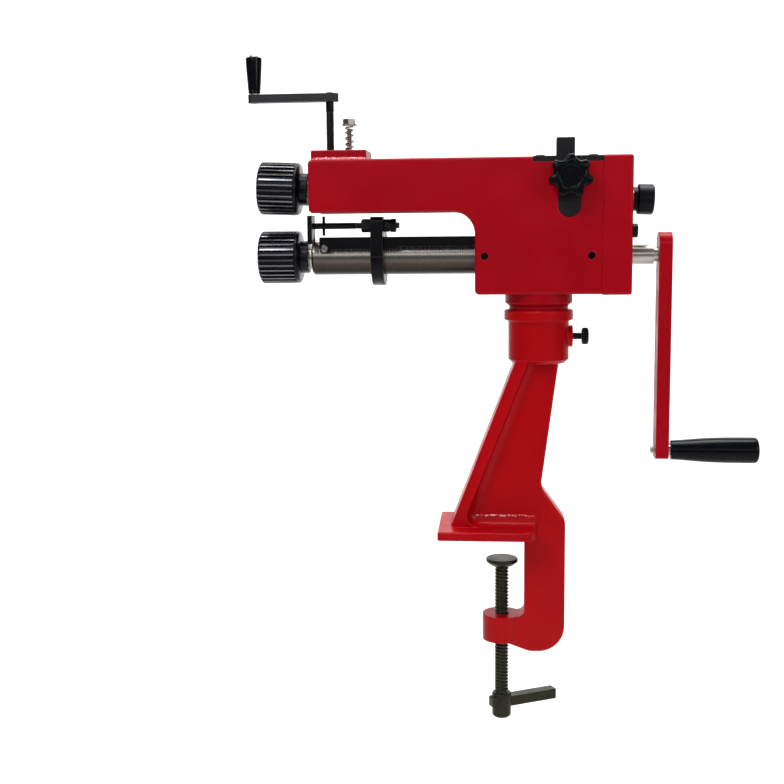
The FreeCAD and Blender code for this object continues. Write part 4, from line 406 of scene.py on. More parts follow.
# %% Dress the solids
DRESS = {
    stand_lit_enamel: ("stand_casting",),
    enamel: ("head_casting", "gear_cover", "front_top_plate", "crank_arm"),
    oxide: (
        "adjusting_screw", "fence_ring", "fence_rod", "fence_nuts", "fence_plate",
        "fence_pin", "guide_bar", "shaft_collar", "collar_set_screw", "lock_screw",
        "sleeve_set_screws", "lower_roll_screw", "upper_roll_screw", "crank_screw", "knob_stud",
        "cover_screws", "lower_keys", "upper_keys",
    ),
    roll_black: ("lower_roll", "upper_roll"),
    plate_black: ("pivot_hanger", "hanger_screws"),
    bar_black: ("adjusting_crank",),
    tee_steel: ("clamp_tee_bar", "clamp_screw", "clamp_pad", "pressure_pad"),
    shaft_steel: ("lower_shaft", "upper_shaft", "grip_pin", "adjusting_grip_pin", "pivot_pins"),
    sleeve_steel: ("upper_sleeve",),
    sleeve_painted_light_steel: ("lower_sleeve",),
    gear_steel: ("lower_gear", "upper_gear"),
    zinc: ("lifting_bolt", "lifting_spring", "guide_bolt"),
    bronze: ("lower_bushes", "upper_bushes", "lock_slug"),
    plastic: ("star_knob", "crank_grip", "adjusting_grip"),
}
for material, names in DRESS.items():
    for name in names:
        solid = frame["nodes"][name]
        solid.data.materials.clear()
        solid.data.materials.append(material)
dressed = sum(len(names) for names in DRESS.values())
print("dressed", dressed, "of", len(frame["nodes"]), "solids")

# %% [markdown]
# ## Shapes about an axis
#
# Most small parts of a machine are made on a lathe, so one helper builds them all: it
# takes rings, each a distance along the axis and a radius, and joins them with faces.
# Where a radius changes with the angle, the same helper makes a hexagon, a lobed knob
# or a ribbed drum. The shapes are drawn in millimetres along X and then put in place.

# %% Shape helpers
def shaped(rings, sides=72, hollow=False):
    """Points and faces of a solid about X. A radius is a number or follows the angle."""
    points = []
    for distance, radius in rings:
        for step in range(sides):
            angle = 2 * math.pi * step / sides
            reach = radius(angle) if callable(radius) else radius
            points.append(Vector((distance, reach * math.sin(angle), reach * math.cos(angle))))
    count = len(rings)
    faces = []
    for row in range(count if hollow else count - 1):
        here, after = row * sides, (row + 1) % count * sides
        for step in range(sides):
            beside = (step + 1) % sides
            faces.append((here + step, here + beside, after + beside, after + step))
    if not hollow:
        faces.append(tuple(range(sides)))
        faces.append(tuple(range((count - 1) * sides, count * sides)))
    return points, faces


def together(*shapes):
    """Several shapes as one."""
    points, faces = [], []
    for some_points, some_faces in shapes:
        start = len(points)
        points += some_points
        faces += [tuple(start + corner for corner in face) for face in some_faces]
    return points, faces


def moved(shape, turn):
    """A shape after a matrix in millimetres."""
    return [turn @ point for point in shape[0]], shape[1]


def rounded(corners, steps=5):
    """A profile whose (distance, radius, ease) corners are eased, half a side long at most."""
    line = []
    last = len(corners) - 1
    for index, (distance, radius, ease) in enumerate(corners):
        here = Vector((distance, radius))
        if ease == 0 or index in (0, last):
            line.append((distance, radius))
            continue
        before, after = (Vector(corners[index + way][:2]) - here for way in (-1, 1))
        before = before.normalized() * min(ease, before.length / 2)
        after = after.normalized() * min(ease, after.length / 2)
        for step in range(steps + 1):
            share = step / steps
            point = here + before * (1 - share) ** 2 + after * share ** 2
            line.append((point.x, point.y))
    return line


def placed(x, y, z, along="X"):
    """The matrix that lays a shape drawn along X from a point, in millimetres."""
    turns = {
        "X": Matrix.Identity(4),
        "Z": Matrix.Rotation(math.radians(-90), 4, "Y"),
        "FRONT": Matrix.Rotation(math.radians(-90), 4, "Z"),
    }
    return Matrix.Translation((x, y, z)) @ turns[along]


SHARP = 34


def made_piece(name, shape, material, body, *stands_for, sharp=SHARP):
    """A new piece in place of solids, or beside them, on a body when one is given."""
    mesh = bpy.data.meshes.new(name)
    mesh.from_pydata([point * MM for point in shape[0]], [], shape[1])
    work = bmesh.new()
    work.from_mesh(mesh)
    bmesh.ops.recalc_face_normals(work, faces=work.faces)
    work.to_mesh(mesh)
    work.free()
    mesh.materials.append(material)
    mesh.shade_smooth()
    mesh.set_sharp_from_angle(angle=math.radians(sharp))
    made = bpy.data.objects.new(name, mesh)
    bpy.context.scene.collection.objects.link(made)
    if body:
        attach(made, body)
    if stands_for:
        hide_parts(*stands_for)
    print(name, "rides on", body or "two bodies", "with", len(mesh.polygons), "faces")
    return made


# %% [markdown]
# ## Where the shafts lie
#
# The lower shaft is level. The upper one lies in a sleeve that rocks on two pins, and at
# rest its front is lifted a little, so shapes drawn level with the pins are turned about
# them. The lines are those of the machine's own hinges and the ends are those of its
# solids, so a new piece fits where the old one was.

# %% Shaft lines
HINGES = {joint["name"]: joint for joint in frame["joints"] if joint["type"] == "hinge"}


def line_of(hinge):
    """A point on a hinge's line, in millimetres."""
    return Vector(HINGES[hinge]["pos_m"]) / MM


def low_end(solid_name):
    """A solid's lowest corner at rest, in millimetres."""
    return Vector(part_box(solid_name)[0]) / MM


def high_end(solid_name):
    """A solid's highest corner at rest, in millimetres."""
    return Vector(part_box(solid_name)[1]) / MM


def middle(solid_name):
    """The middle of a solid's box at rest, in millimetres."""
    return (low_end(solid_name) + high_end(solid_name)) / 2


SHAFT_Z = line_of("main_crank_turn").z
PIVOT = line_of("upper_tilt")
UPPER_AXIS = Vector(HINGES["upper_shaft_turn"]["axis"])
REST_TILT = math.atan2(-UPPER_AXIS.z, UPPER_AXIS.x)
LIFTED = Matrix.Rotation(REST_TILT, 4, "Y")
UPPER_LINE = Matrix.Translation(PIVOT) @ LIFTED @ Matrix.Translation(-PIVOT)
print("upper line lifts its front by", round(math.degrees(REST_TILT), 2), "degrees")

# %% [markdown]
# ## The ribbed rolls
#
# The rolls grip sheet metal with thirty straight ribs. On the real ones each rib has a
# flat top with its edges worn round, and a plain rim and hub stand behind the ribs. The
# outline of one rib is a smooth step between root and top, and the lathe helper repeats
# it round the drum. The front has a deep recess for the washer and screw.

# %% Ribbed rolls
ROLL_RIBS = 30
RIB_STEPS = 14
ROLL_TOP = 29.0
ROLL_ROOT = 26.6
ROLL_FRONT = low_end("lower_roll").x
ROLL_BORE = 11.02
RECESS_R = 17.0
HUB_R = 18.0
HALF_RIB = 0.27
RIB_SLOPE = 0.13
FIRST_RIB_ROW, LAST_RIB_ROW = 6, 9


def rib_outline(top, root):
    """A radius that steps up and down once for each rib, with eased corners."""
    def radius(angle):
        share = angle * ROLL_RIBS / (2 * math.pi) % 1.0
        away = min(share, 1 - share)
        ramp = min(1.0, max(0.0, (HALF_RIB - away) / RIB_SLOPE))
        return root + (top - root) * ramp * ramp * (3 - 2 * ramp)
    return radius


def ribbed_roll():
    """Rings of a roll: recess, front face, ribs, rim and hub, then back down its bore."""
    ribs = rib_outline(ROLL_TOP, ROLL_ROOT)
    recess = [(9.0, ROLL_BORE), (9.0, RECESS_R - 0.4), (8.6, RECESS_R), (0.7, RECESS_R)]
    front = [(0.0, RECESS_R + 0.7), (0.0, 25.2), (0.6, rib_outline(26.1, 25.7))]
    front += [(1.5, rib_outline(27.7, 26.2)), (2.6, rib_outline(28.8, ROLL_ROOT))]
    drum = [(3.4, ribs), (40.6, ribs)]
    rim = [(41.0, 28.7), (41.4, ROLL_TOP), (43.2, ROLL_TOP), (43.7, 28.75), (45.3, 27.0), (45.5, 26.6)]
    hub = [(45.5, HUB_R + 0.6), (45.9, HUB_R), (54.2, HUB_R), (55.0, HUB_R - 0.8), (55.0, ROLL_BORE)]
    return shaped(recess + front + drum + rim + hub, ROLL_RIBS * RIB_STEPS, hollow=True)


def rub_and_glint_crests(roll):
    """Give the tops of the ribs a paler steel, partly rubbed wear and partly a painted highlight."""
    on_top = (0, 1, RIB_STEPS - 2, RIB_STEPS - 1)
    roll.data.materials.append(crest_steel)
    for face in roll.data.polygons:
        row, step = divmod(face.index, ROLL_RIBS * RIB_STEPS)
        if FIRST_RIB_ROW <= row <= LAST_RIB_ROW and step % RIB_STEPS in on_top:
            face.material_index = 1


for name, place, body, node_name in (
    ("lower_ribbed_roll", placed(ROLL_FRONT, 0, SHAFT_Z), "lower_line", "lower_roll"),
    ("upper_ribbed_roll", UPPER_LINE @ placed(ROLL_FRONT, 0, PIVOT.z), "upper_line", "upper_roll"),
):
    rub_and_glint_crests(made_piece(name, moved(ribbed_roll(), place), roll_black, body, node_name))

# %% [markdown]
# ## Screw threads
#
# A thread is a ridge that climbs as it goes round. The grid of points climbs with it:
# each ring ends one pitch further than it began, so the last column joins the first
# column of a later row. Cutting the ends square afterwards leaves a clean bar once the
# points that the cut puts nearly on top of each other are merged, and a radius that
# shrinks near each end gives the chamfer that starts a real screw.

# %% Thread helper
ROWS_A_PITCH = 8
THREAD_FORM = (0.0, 0.1, 0.55, 1.0, 1.0, 0.9, 0.45, 0.0)
MERGE = 0.01


def threaded(length, radius, pitch, depth, sides, lead):
    """A threaded bar along X from the origin, cut square, its ends chamfered by lead."""
    rows = int((length / pitch + 2) * ROWS_A_PITCH)
    work = bmesh.new()
    grid = []
    for row in range(rows + ROWS_A_PITCH + 1):
        line = []
        for column in range(sides):
            x = ((row / ROWS_A_PITCH) + column / sides - 1) * pitch
            inside = min(x, length - x)
            reach = radius - depth + depth * THREAD_FORM[row % ROWS_A_PITCH]
            reach = min(reach, radius - lead + max(0.0, inside))
            angle = 2 * math.pi * column / sides
            line.append(work.verts.new((x, reach * math.sin(angle), reach * math.cos(angle))))
        grid.append(line)
    for row in range(rows):
        for column in range(sides):
            wraps = column == sides - 1
            low = grid[row + ROWS_A_PITCH][0] if wraps else grid[row][column + 1]
            high = grid[row + ROWS_A_PITCH + 1][0] if wraps else grid[row + 1][column + 1]
            work.faces.new((grid[row][column], low, high, grid[row + 1][column]))
    for x, outward in ((0.0, -1), (length, 1)):
        bmesh.ops.bisect_plane(
            work, geom=work.verts[:] + work.edges[:] + work.faces[:],
            plane_co=(x, 0, 0), plane_no=(outward, 0, 0), clear_outer=True,
        )
    loose = [vert for vert in work.verts if not vert.link_faces]
    bmesh.ops.delete(work, geom=loose, context="VERTS")
    bmesh.ops.remove_doubles(work, verts=work.verts, dist=MERGE)
    bmesh.ops.holes_fill(work, edges=[edge for edge in work.edges if edge.is_boundary], sides=0)
    work.verts.index_update()
    points = [vert.co.copy() for vert in work.verts]
    faces = [tuple(vert.index for vert in face.verts) for face in work.faces]
    work.free()
    return points, faces


print("a thread takes", ROWS_A_PITCH, "rows a pitch")

# %% [markdown]
# ## The clamp screw
#
# The clamp pulls up with a sixteen-millimetre screw of four-millimetre pitch, which
# shows below the jaw and above it. Its lower end is a hub with a square hole for the
# tee bar, so the hub is left solid and the bar simply passes through it.

# %% Clamp screw
HUB_LONG = 29.0
CLAMP_THREAD_LONG = 152.0
# Shapes that carry on from one another lap by this much.
LAP = 0.1
CLAMP_HUB_Z = low_end("clamp_screw").z
CLAMP_THREAD_Z = CLAMP_HUB_Z + HUB_LONG - LAP
CLAMP_NOSE_Z = CLAMP_THREAD_Z + CLAMP_THREAD_LONG - LAP
hub_rings = rounded([
    (0, 9.0, 0), (2, 11, 0.8), (HUB_LONG - 1, 11, 0.8), (HUB_LONG, 10, 0.4), (HUB_LONG, 7.6, 0),
])
hub = moved(shaped(hub_rings, 64), placed(0, 0, CLAMP_HUB_Z, "Z"))
clamp_thread = threaded(CLAMP_THREAD_LONG, radius=8.0, pitch=4.0, depth=1.7, sides=44, lead=1.6)
clamp_thread = moved(clamp_thread, placed(0, 0, CLAMP_THREAD_Z, "Z"))
nose = moved(shaped([(0, 5.0), (4.2, 5.0), (5.0, 4.3)], 32), placed(0, 0, CLAMP_NOSE_Z, "Z"))
clamp_shape = together(hub, clamp_thread, nose)
made_piece("threaded_clamp_screw", clamp_shape, tee_steel, "clamp_screw", "clamp_screw")

# %% [markdown]
# ## The adjusting screw and its grip
#
# A small crank on top drives a nine-millimetre screw down on the rocking sleeve. Its
# thread is fine and black, and stops short of the crank. The grip is moulded, wider at
# the top, with one bead round its foot and a soft upper edge.

# %% Adjusting screw and grip
STEM_LONG = 21.3
FINE_THREAD_LONG = 63.0
FINE_THREAD_RELIEF = 0.1
ADJUST_X = line_of("adjusting_crank_turn").x
ADJUST_STEM_Z = high_end("adjusting_screw").z - STEM_LONG
ADJUST_THREAD_Z = ADJUST_STEM_Z - FINE_THREAD_RELIEF - FINE_THREAD_LONG
ADJUST_TIP_Z = ADJUST_THREAD_Z - 3.0
tip = moved(shaped([(0, 2.6), (0.4, 3.0), (3.2, 3.0)], 32), placed(ADJUST_X, 0, ADJUST_TIP_Z, "Z"))
fine_thread = threaded(FINE_THREAD_LONG, radius=4.5, pitch=2.0, depth=0.55, sides=32, lead=0.7)
fine_thread = moved(fine_thread, placed(ADJUST_X, 0, ADJUST_THREAD_Z, "Z"))
stem = rounded([
    (0, 4.2, 0), (0.4, 4.45, 0.2), (STEM_LONG - 0.7, 4.45, 0.5), (STEM_LONG, 3.7, 0.2),
    (STEM_LONG, 3.0, 0),
], 3)
stem = moved(shaped(stem, 40), placed(ADJUST_X, 0, ADJUST_STEM_Z, "Z"))
adjusting = together(tip, fine_thread, stem)
made_piece("threaded_adjusting_screw", adjusting, oxide, "adjusting_crank", "adjusting_screw")

SMALL_GRIP_X = line_of("adjusting_grip_turn").x
SMALL_GRIP_Z = low_end("adjusting_grip").z
GRIP_BORE = 3.1
small_grip = rounded([
    (39.0, GRIP_BORE, 0), (39.0, 8.2, 0), (38.2, 9.0, 1.2), (30, 8.72, 6), (16, 7.75, 8),
    (3.4, 6.85, 0.5), (3.0, 6.45, 0.2), (2.4, 6.8, 0.2), (0.6, 6.8, 0.5), (0, 6.2, 0.3),
    (0, GRIP_BORE, 0),
], 6)
small_grip = shaped(small_grip, 72, hollow=True)
small_grip = moved(small_grip, placed(SMALL_GRIP_X, 0, SMALL_GRIP_Z, "Z"))
made_piece("moulded_small_grip", small_grip, plastic, "adjusting_grip", "adjusting_grip")

# %% [markdown]
# ## The crank's grip
#
# The large grip swells from a narrow neck to a round belly, in hard black plastic. The
# curve has few corners, each eased over a long way, as a mould maker would draw it.

# %% Crank grip
CRANK_GRIP_X = low_end("crank_grip").x
CRANK_GRIP_Z = line_of("crank_grip_turn").z
grip_line = rounded([
    (0, 4.1, 0), (0, 9.9, 0), (0.7, 10.8, 0.4), (9.6, 11.3, 5), (22, 12.3, 7), (36.5, 13.5, 8),
    (56, 14.3, 12), (88, 14.5, 6), (94.0, 14.4, 3.0), (96.0, 11.2, 1.4), (96.0, 9.0, 0.4),
    (95.4, 5.0, 1.5), (95.4, 0.02, 0),
], 7)
crank_grip = moved(shaped(grip_line, 96), placed(CRANK_GRIP_X, 0, CRANK_GRIP_Z))
made_piece("moulded_crank_grip", crank_grip, plastic, "crank_grip", "crank_grip")

# %% [markdown]
# ## The star knob
#
# A seven-lobed knob locks the tilt. Moulded lobes have no hard corners, so the outline
# is one wave round the rim, flattened a little at its tops and bottoms, and it shrinks
# in towards the face in a soft shoulder. One lobe points straight up.

# %% Star knob
KNOB_LOBES = 7
STEPS_A_LOBE = 28
LOBE_FLATNESS = 1.5
KNOB_TIP, KNOB_VALLEY = 23.5, 18.7
KNOB_LINE = line_of("star_knob_turn")
KNOB_PLACE = (KNOB_LINE.x, high_end("star_knob").y, KNOB_LINE.z)


def lobed(tip, valley):
    """A radius that swells at every lobe."""
    def radius(angle):
        wave = math.tanh(LOBE_FLATNESS * math.cos(KNOB_LOBES * angle)) / math.tanh(LOBE_FLATNESS)
        return (tip + valley) / 2 + (tip - valley) / 2 * wave
    return radius


knob_rings = [(0.0, 5.1), (0.0, 9.4), (0.8, 10.2), (7.4, 10.2), (8.0, 11.0)]
knob_rings += [
    (distance, lobed(tip, valley))
    for distance, tip, valley in (
        (8.0, 21.6, 17.2), (8.5, 22.7, 18.1), (9.6, KNOB_TIP, KNOB_VALLEY),
        (20.6, KNOB_TIP, KNOB_VALLEY), (22.4, 23.0, 18.3), (23.7, 21.9, 17.5),
        (24.5, 20.2, 16.2), (24.9, 17.5, 14.4),
    )
]
knob_rings += [(25.0, 12.5), (24.7, 11.6), (24.2, 11.2), (24.1, 6.0), (24.4, 0.05)]
knob = moved(shaped(knob_rings, KNOB_LOBES * STEPS_A_LOBE), placed(*KNOB_PLACE, "FRONT"))
made_piece("seven_lobed_knob", knob, plastic, "star_knob", "star_knob", sharp=50)

# %% [markdown]
# ## The lifting bolt and its spring
#
# A hexagon bolt holds the rocking sleeve up through a light spring, so the rolls open
# when the adjusting screw lets go. A hexagon is a circle whose radius grows towards six
# corners, and turning off those corners leaves the arcs that every bolt head shows.

# %% Lifting bolt
WASHER_THICK = 1.6
LIFT_FLATS = 13
LIFT_HEAD_HIGH = 6.0
LIFT_THREAD_LONG = 54.2
LIFT_THREAD_STOPS = 2.9
LIFT_X = middle("lifting_bolt").x
LIFT_WASHER_Z = high_end("lifting_bolt").z - LIFT_HEAD_HIGH - WASHER_THICK
LIFT_THREAD_Z = LIFT_WASHER_Z - LIFT_THREAD_STOPS - LIFT_THREAD_LONG


def hexagon(flats, turned_off=math.inf):
    """A radius round a hexagon across its flats, cut down to a circle."""
    def radius(angle):
        from_flat = (angle + math.pi / 6) % (math.pi / 3) - math.pi / 6
        return min(flats / 2 / math.cos(from_flat), turned_off)
    return radius


bolt_thread = threaded(LIFT_THREAD_LONG, radius=2.75, pitch=1.0, depth=0.38, sides=28, lead=0.5)
bolt_thread = moved(bolt_thread, placed(LIFT_X, 0, LIFT_THREAD_Z, "Z"))
washer_rings = [(0, 7.9), (0.35, 8.4), (1.25, 8.4), (WASHER_THICK, 7.9)]
washer = moved(shaped(washer_rings, 48), placed(LIFT_X, 0, LIFT_WASHER_Z, "Z"))
head_rings = [(0, hexagon(12.4)), (0.2, hexagon(LIFT_FLATS, 7.1)), (0.6, hexagon(LIFT_FLATS))]
head_rings += [(4.8, hexagon(LIFT_FLATS)), (5.3, hexagon(LIFT_FLATS, 7.0))]
head_rings += [(5.7, hexagon(LIFT_FLATS, 6.4)), (LIFT_HEAD_HIGH, 5.7)]
head_rings += [(LIFT_HEAD_HIGH, 4.4), (5.8, 4.1)]
bolt_head = moved(shaped(head_rings, 96), placed(LIFT_X, 0, LIFT_WASHER_Z + WASHER_THICK, "Z"))
lifting = together(bolt_thread, washer, bolt_head)
made_piece("threaded_lifting_bolt", lifting, zinc, "upper_sleeve", "lifting_bolt", sharp=28)

# %% [markdown]
# ## The spring
#
# Spring wire is a round section that follows a helix. The ends of a real spring lie a
# little closer together than its middle, so the climb is slower at both ends. When the
# rolls close, the bolt comes down on an arc, but the coil here rides on no body and is
# built in place at rest.

# %% Lifting spring
SPRING_TURNS = 5
SPRING_MEAN = 4.2
WIRE = 0.8
WIRE_PLAY = 0.1
STEPS_A_TURN = 44
WIRE_SIDES = 14
END_SLOWING = 0.05
PLATE_TOP_Z = high_end("front_top_plate").z
SPRING_LOW = PLATE_TOP_Z + WIRE_PLAY + WIRE
SPRING_CLIMB = LIFT_WASHER_Z - WIRE_PLAY - WIRE - SPRING_LOW


def coil_middle(share):
    """The wire's middle after a share of the climb, closer wound at both ends."""
    angle = 2 * math.pi * SPRING_TURNS * share
    rise = SPRING_CLIMB * (share - END_SLOWING * math.sin(2 * math.pi * share))
    return Vector((SPRING_MEAN * math.cos(angle), SPRING_MEAN * math.sin(angle), rise))


def coil():
    """Round wire along the helix, with closed ends."""
    points, faces = [], []
    count = STEPS_A_TURN * SPRING_TURNS
    for row in range(count + 1):
        share = row / count
        centre = coil_middle(share)
        ahead = (coil_middle(share + 0.001) - coil_middle(share - 0.001)).normalized()
        outward = Vector((centre.x, centre.y, 0)).normalized()
        above = ahead.cross(outward)
        for side in range(WIRE_SIDES):
            angle = 2 * math.pi * side / WIRE_SIDES
            reach = outward * math.cos(angle) + above * math.sin(angle)
            points.append(centre + reach * WIRE)
    for row in range(count):
        here, after = row * WIRE_SIDES, (row + 1) * WIRE_SIDES
        for side in range(WIRE_SIDES):
            beside = (side + 1) % WIRE_SIDES
            faces.append((here + side, here + beside, after + beside, after + side))
    faces.append(tuple(range(WIRE_SIDES)))
    faces.append(tuple(range(count * WIRE_SIDES, (count + 1) * WIRE_SIDES)))
    return points, faces


spring_shape = moved(coil(), Matrix.Translation((LIFT_X, 0, SPRING_LOW)))
spring = made_piece("coiled_lifting_spring", spring_shape, zinc, None, "lifting_spring", sharp=60)
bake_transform(spring)

# %% [markdown]
# ## The fence rod and its nuts
#
# The depth fence slides on the sleeve, and its rod is held by one long nut in front of
# the ring and two lock nuts behind. The rod is plain where the plate is fixed and
# threaded where the nuts run.

# %% Fence rod and nuts
ROD_R = 3.4
ROD_THREAD_LONG = 47.8
ROD_Y, ROD_Z = middle("fence_rod").yz
ROD_FRONT = low_end("fence_rod").x
ROD_THREAD_X = high_end("fence_rod").x - ROD_THREAD_LONG
NUT_BORE = 3.5
NUT_FLATS = 13.0
LONG_NUT, LOCK_NUT = 10.5, 7.0
LAST_NUT_X = high_end("fence_nuts").x - LOCK_NUT
NUTS = (
    (low_end("fence_nuts").x, LONG_NUT, 0.3),
    (LAST_NUT_X - 0.1 - LOCK_NUT, LOCK_NUT, 0.12),
    (LAST_NUT_X, LOCK_NUT, 0.75),
)

rod_rings = [(0.0, 2.1), (0.3, 2.4), (4.1, 2.4), (4.1, 3.1), (4.4, ROD_R), (50.8, ROD_R), (51.4, 3.0)]
plain_rod = moved(shaped(rod_rings, 36), placed(ROD_FRONT, ROD_Y, ROD_Z))
rod_thread = threaded(ROD_THREAD_LONG, radius=ROD_R, pitch=1.25, depth=0.45, sides=32, lead=0.6)
rod_thread = moved(rod_thread, placed(ROD_THREAD_X, ROD_Y, ROD_Z))
made_piece("threaded_fence_rod", together(plain_rod, rod_thread), oxide, "fence", "fence_rod")


def hex_nut(length):
    """A nut with both faces turned down at the corners."""
    corner = NUT_FLATS / 2 / math.cos(math.pi / 6)
    face = NUT_FLATS / 2 - 0.3
    turned_off, full = hexagon(NUT_FLATS, corner - 0.45), hexagon(NUT_FLATS)
    rings = [(0.0, NUT_BORE + 0.5), (0.0, face), (0.45, turned_off), (0.9, full)]
    rings += [(length - 0.9, full), (length - 0.45, turned_off), (length, face)]
    rings += [(length, NUT_BORE + 0.5), (length - 0.5, NUT_BORE), (0.5, NUT_BORE)]
    return shaped(rings, 72, hollow=True)


nut_shapes = [
    moved(hex_nut(length), placed(x, ROD_Y, ROD_Z) @ Matrix.Rotation(turn, 4, "X"))
    for x, length, turn in NUTS
]
made_piece("hexagon_fence_nuts", together(*nut_shapes), oxide, "fence", "fence_nuts", sharp=28)

# %% [markdown]
# ## The lock screw
#
# A knurled thumb screw stops the head from swinging. Coarse straight knurling is the
# same wave as the knob's lobes, only finer, and the stem between head and boss is
# threaded.

# %% Lock screw
THUMB_STEM_LONG = 21.4
LOCK_Z = line_of("lock_turn").z
THUMB_STEM_X = low_end("lock_screw").x
THUMB_X = THUMB_STEM_X + THUMB_STEM_LONG - LAP
KNURLS = 26
KNURL_DEPTH = 0.8
THUMB_R = 9.35


def knurled(angle):
    """The thumb head's radius, with straight knurls round it."""
    return THUMB_R - KNURL_DEPTH * (0.5 - 0.5 * math.cos(KNURLS * angle)) ** 1.5


thumb_rings = [(0.0, 5.0), (0.0, 7.6), (0.5, 8.2), (1.3, knurled), (6.3, knurled), (7.1, 8.2)]
thumb_rings += [(7.6, 7.5), (7.6, 5.2), (7.2, 4.8), (7.2, 0.05)]
thumb_head = moved(shaped(thumb_rings, KNURLS * 8), placed(THUMB_X, 0, LOCK_Z))
thumb_stem = threaded(THUMB_STEM_LONG, radius=4.0, pitch=1.5, depth=0.6, sides=32, lead=0.6)
thumb_stem = moved(thumb_stem, placed(THUMB_STEM_X, 0, LOCK_Z))
lock_shape = together(thumb_head, thumb_stem)
made_piece("knurled_lock_screw", lock_shape, oxide, "lock_screw", "lock_screw")

# %% [markdown]
# ## Weld beads
#
# The front plate and the foot are welded on, and the paint lies over the beads. A bead
# is a row of small overlapping puddles, so its radius rises and falls unevenly along
# its length, and half of it is sunk into the corner that it fills.

# %% Weld beads
PUDDLE_FORM = ((0.0, 0.74), (0.25, 0.92), (0.55, 1.0), (0.85, 0.9))
PLATE_LOW, PLATE_HIGH = low_end("front_top_plate"), high_end("front_top_plate")
PLATE_WELD = (PLATE_LOW.x + 0.5, PLATE_HIGH.y + 0.8, PLATE_LOW.z + 0.1)
FOOT_WELD = (-41.0, 14.5, 20.6)


def bead(length, size, seed, taper):
    """An uneven ridge along X from the origin that dies away at its ends."""
    chance = random.Random(seed)
    rings = [(0.0, size * 0.2)]
    x = 0.4
    while x < length - 0.6:
        puddle = chance.uniform(1.5, 2.3)
        fade = min(1.0, 0.35 + min(x, length - x) / taper)
        swell = size * chance.uniform(0.78, 1.0) * fade
        for share, height in PUDDLE_FORM:
            along = min(x + share * puddle, length - 0.3)
            rings.append((along, swell * height * chance.uniform(0.86, 1.0)))
        x += puddle
    rings.append((length, size * 0.2))
    rings = [
        ring for index, ring in enumerate(rings)
        if index == 0 or ring[0] > rings[index - 1][0] + 0.01
    ]
    return shaped(rings, 20)


def bead_pair(corner, seeds, length, size, taper):
    """One bead in front of the middle plane and one behind it."""
    x, y, z = corner
    return together(*(
        moved(bead(length, size, seed, taper), placed(x, side * y, z))
        for side, seed in zip((-1, 1), seeds)
    ))


plate_beads = bead_pair(PLATE_WELD, (3, 5), 60.0, 3.2, 6.0)
made_piece("front_plate_beads", plate_beads, bead_glint_enamel, "head", sharp=70)
foot_beads = bead_pair(FOOT_WELD, (7, 9), 78.0, 2.0, 14.0)
made_piece("foot_beads", foot_beads, seam_glint_enamel, "stand", sharp=70)

# %% [markdown]
# ## Floor
#
# The clamp hangs below a bench that isn't here, so the floor lies at floor level. It and
# the wall behind are one pale sheet with a soft bend, which leaves no line behind the
# machine.

# %% Floor and backdrop
FLOOR_Z = -0.80
FLOOR_FRONT = -8.0
HALF_WIDTH = 10.0
BEND = 0.9
BEND_STEPS = 16
BACK_Y = 2.6
WALL_TOP = 4.5


def sweep_floor():
    """A pale sheet that runs back and bends up into a wall."""
    bend_y = BACK_Y - BEND
    line = [(FLOOR_FRONT, FLOOR_Z), (bend_y, FLOOR_Z)]
    for step in range(1, BEND_STEPS + 1):
        angle = math.pi / 2 * step / BEND_STEPS
        line.append((bend_y + BEND * math.sin(angle), FLOOR_Z + BEND * (1 - math.cos(angle))))
    line.append((BACK_Y, WALL_TOP))
    points = [(x, y, z) for y, z in line for x in (-HALF_WIDTH, HALF_WIDTH)]
    faces = [(2 * i, 2 * i + 1, 2 * i + 3, 2 * i + 2) for i in range(len(line) - 1)]
    mesh = bpy.data.meshes.new("backdrop")
    mesh.from_pydata(points, [], faces)
    mesh.shade_smooth()
    sheet = bpy.data.objects.new("backdrop", mesh)
    bpy.context.scene.collection.objects.link(sheet)
    return sheet


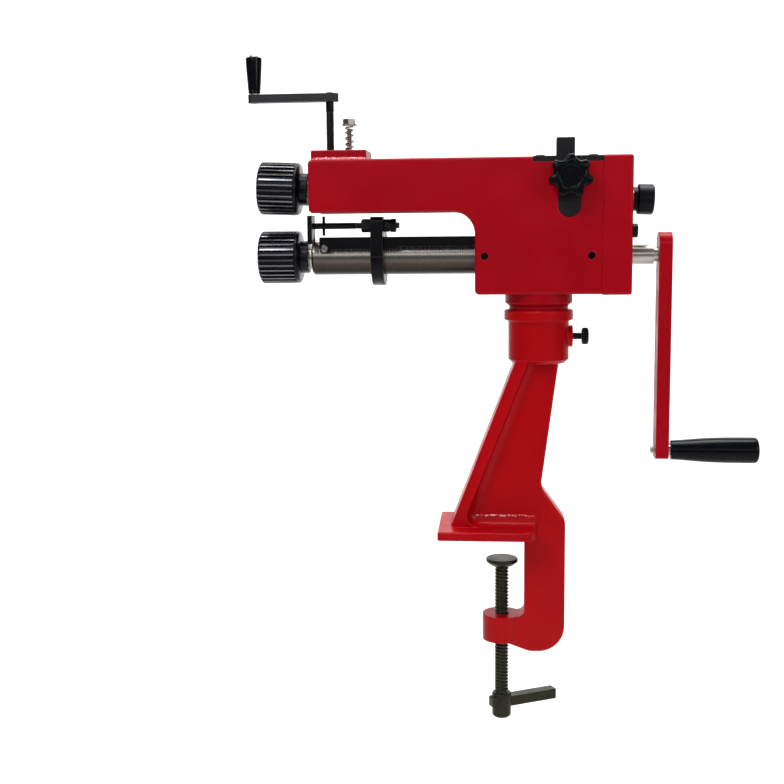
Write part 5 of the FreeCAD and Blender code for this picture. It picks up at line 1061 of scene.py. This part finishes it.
backdrop = sweep_floor()
pale = finish("pale_floor", (0.93, 0.93, 0.93), 0.8, specular=0.1)
backdrop.data.materials.append(pale)
backdrop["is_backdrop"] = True
print("floor at", FLOOR_Z, "m")

# %% [markdown]
# ## Light
#
# A studio lights a shiny thing with large soft panels, because each one shows in the
# paint as a broad, quiet reflection. Four stand round the machine and one keeps the wall
# as pale as the floor. A little even light from all round fills the shadows.

# %% Lamps
WORLD_LIGHT = 0.2


def lamp(name, place, target, width, height, watts):
    """A rectangular soft lamp that faces a point."""
    data = bpy.data.lights.new(name, "AREA")
    data.shape = "RECTANGLE"
    data.size, data.size_y = width, height
    data.energy = watts
    made = bpy.data.objects.new(name, data)
    bpy.context.scene.collection.objects.link(made)
    aim = Vector(target) - Vector(place)
    made.location = place
    made.rotation_euler = aim.to_track_quat("-Z", "Y").to_euler()


lamp("key_lamp", (-1.3, -1.9, 2.1), (0, 0, 0.25), 1.2, 0.9, 50)
lamp("fill_lamp", (1.9, -1.7, 1.0), (0, 0, 0.2), 1.0, 1.2, 24)
lamp("top_lamp", (0.1, -0.1, 2.2), (0, 0, 0.2), 1.6, 0.7, 40)
lamp("front_lamp", (-0.2, -3.2, 1.05), (0, 0, 0.3), 3.2, 0.5, 12)
lamp("wall_lamp", (0, 1.0, 3.0), (0, 2.4, 0.4), 3.5, 1.0, 110)

world = bpy.data.worlds.new("studio")
bpy.context.scene.world = world
world.use_nodes = True
surround = world.node_tree.nodes["Background"]
surround.inputs["Color"].default_value = (1, 1, 1, 1)
surround.inputs["Strength"].default_value = WORLD_LIGHT
bpy.context.scene.view_settings.view_transform = "Standard"
print("lamps:", ", ".join(each.name for each in bpy.data.lights))

# %% [markdown]
# ## Measure and finish
#
# Dressing must not change the overall size, so the box before and after is written down.

# %% Measure and finish
SHOWN_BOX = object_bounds()
boxes = {
    "cad": [list(corner) for corner in CAD_BOX],
    "shown": [list(corner) for corner in SHOWN_BOX],
}
for label, corners in boxes.items():
    print(label, "size in mm:", [round((b - a) / MM, 1) for a, b in zip(*corners)])
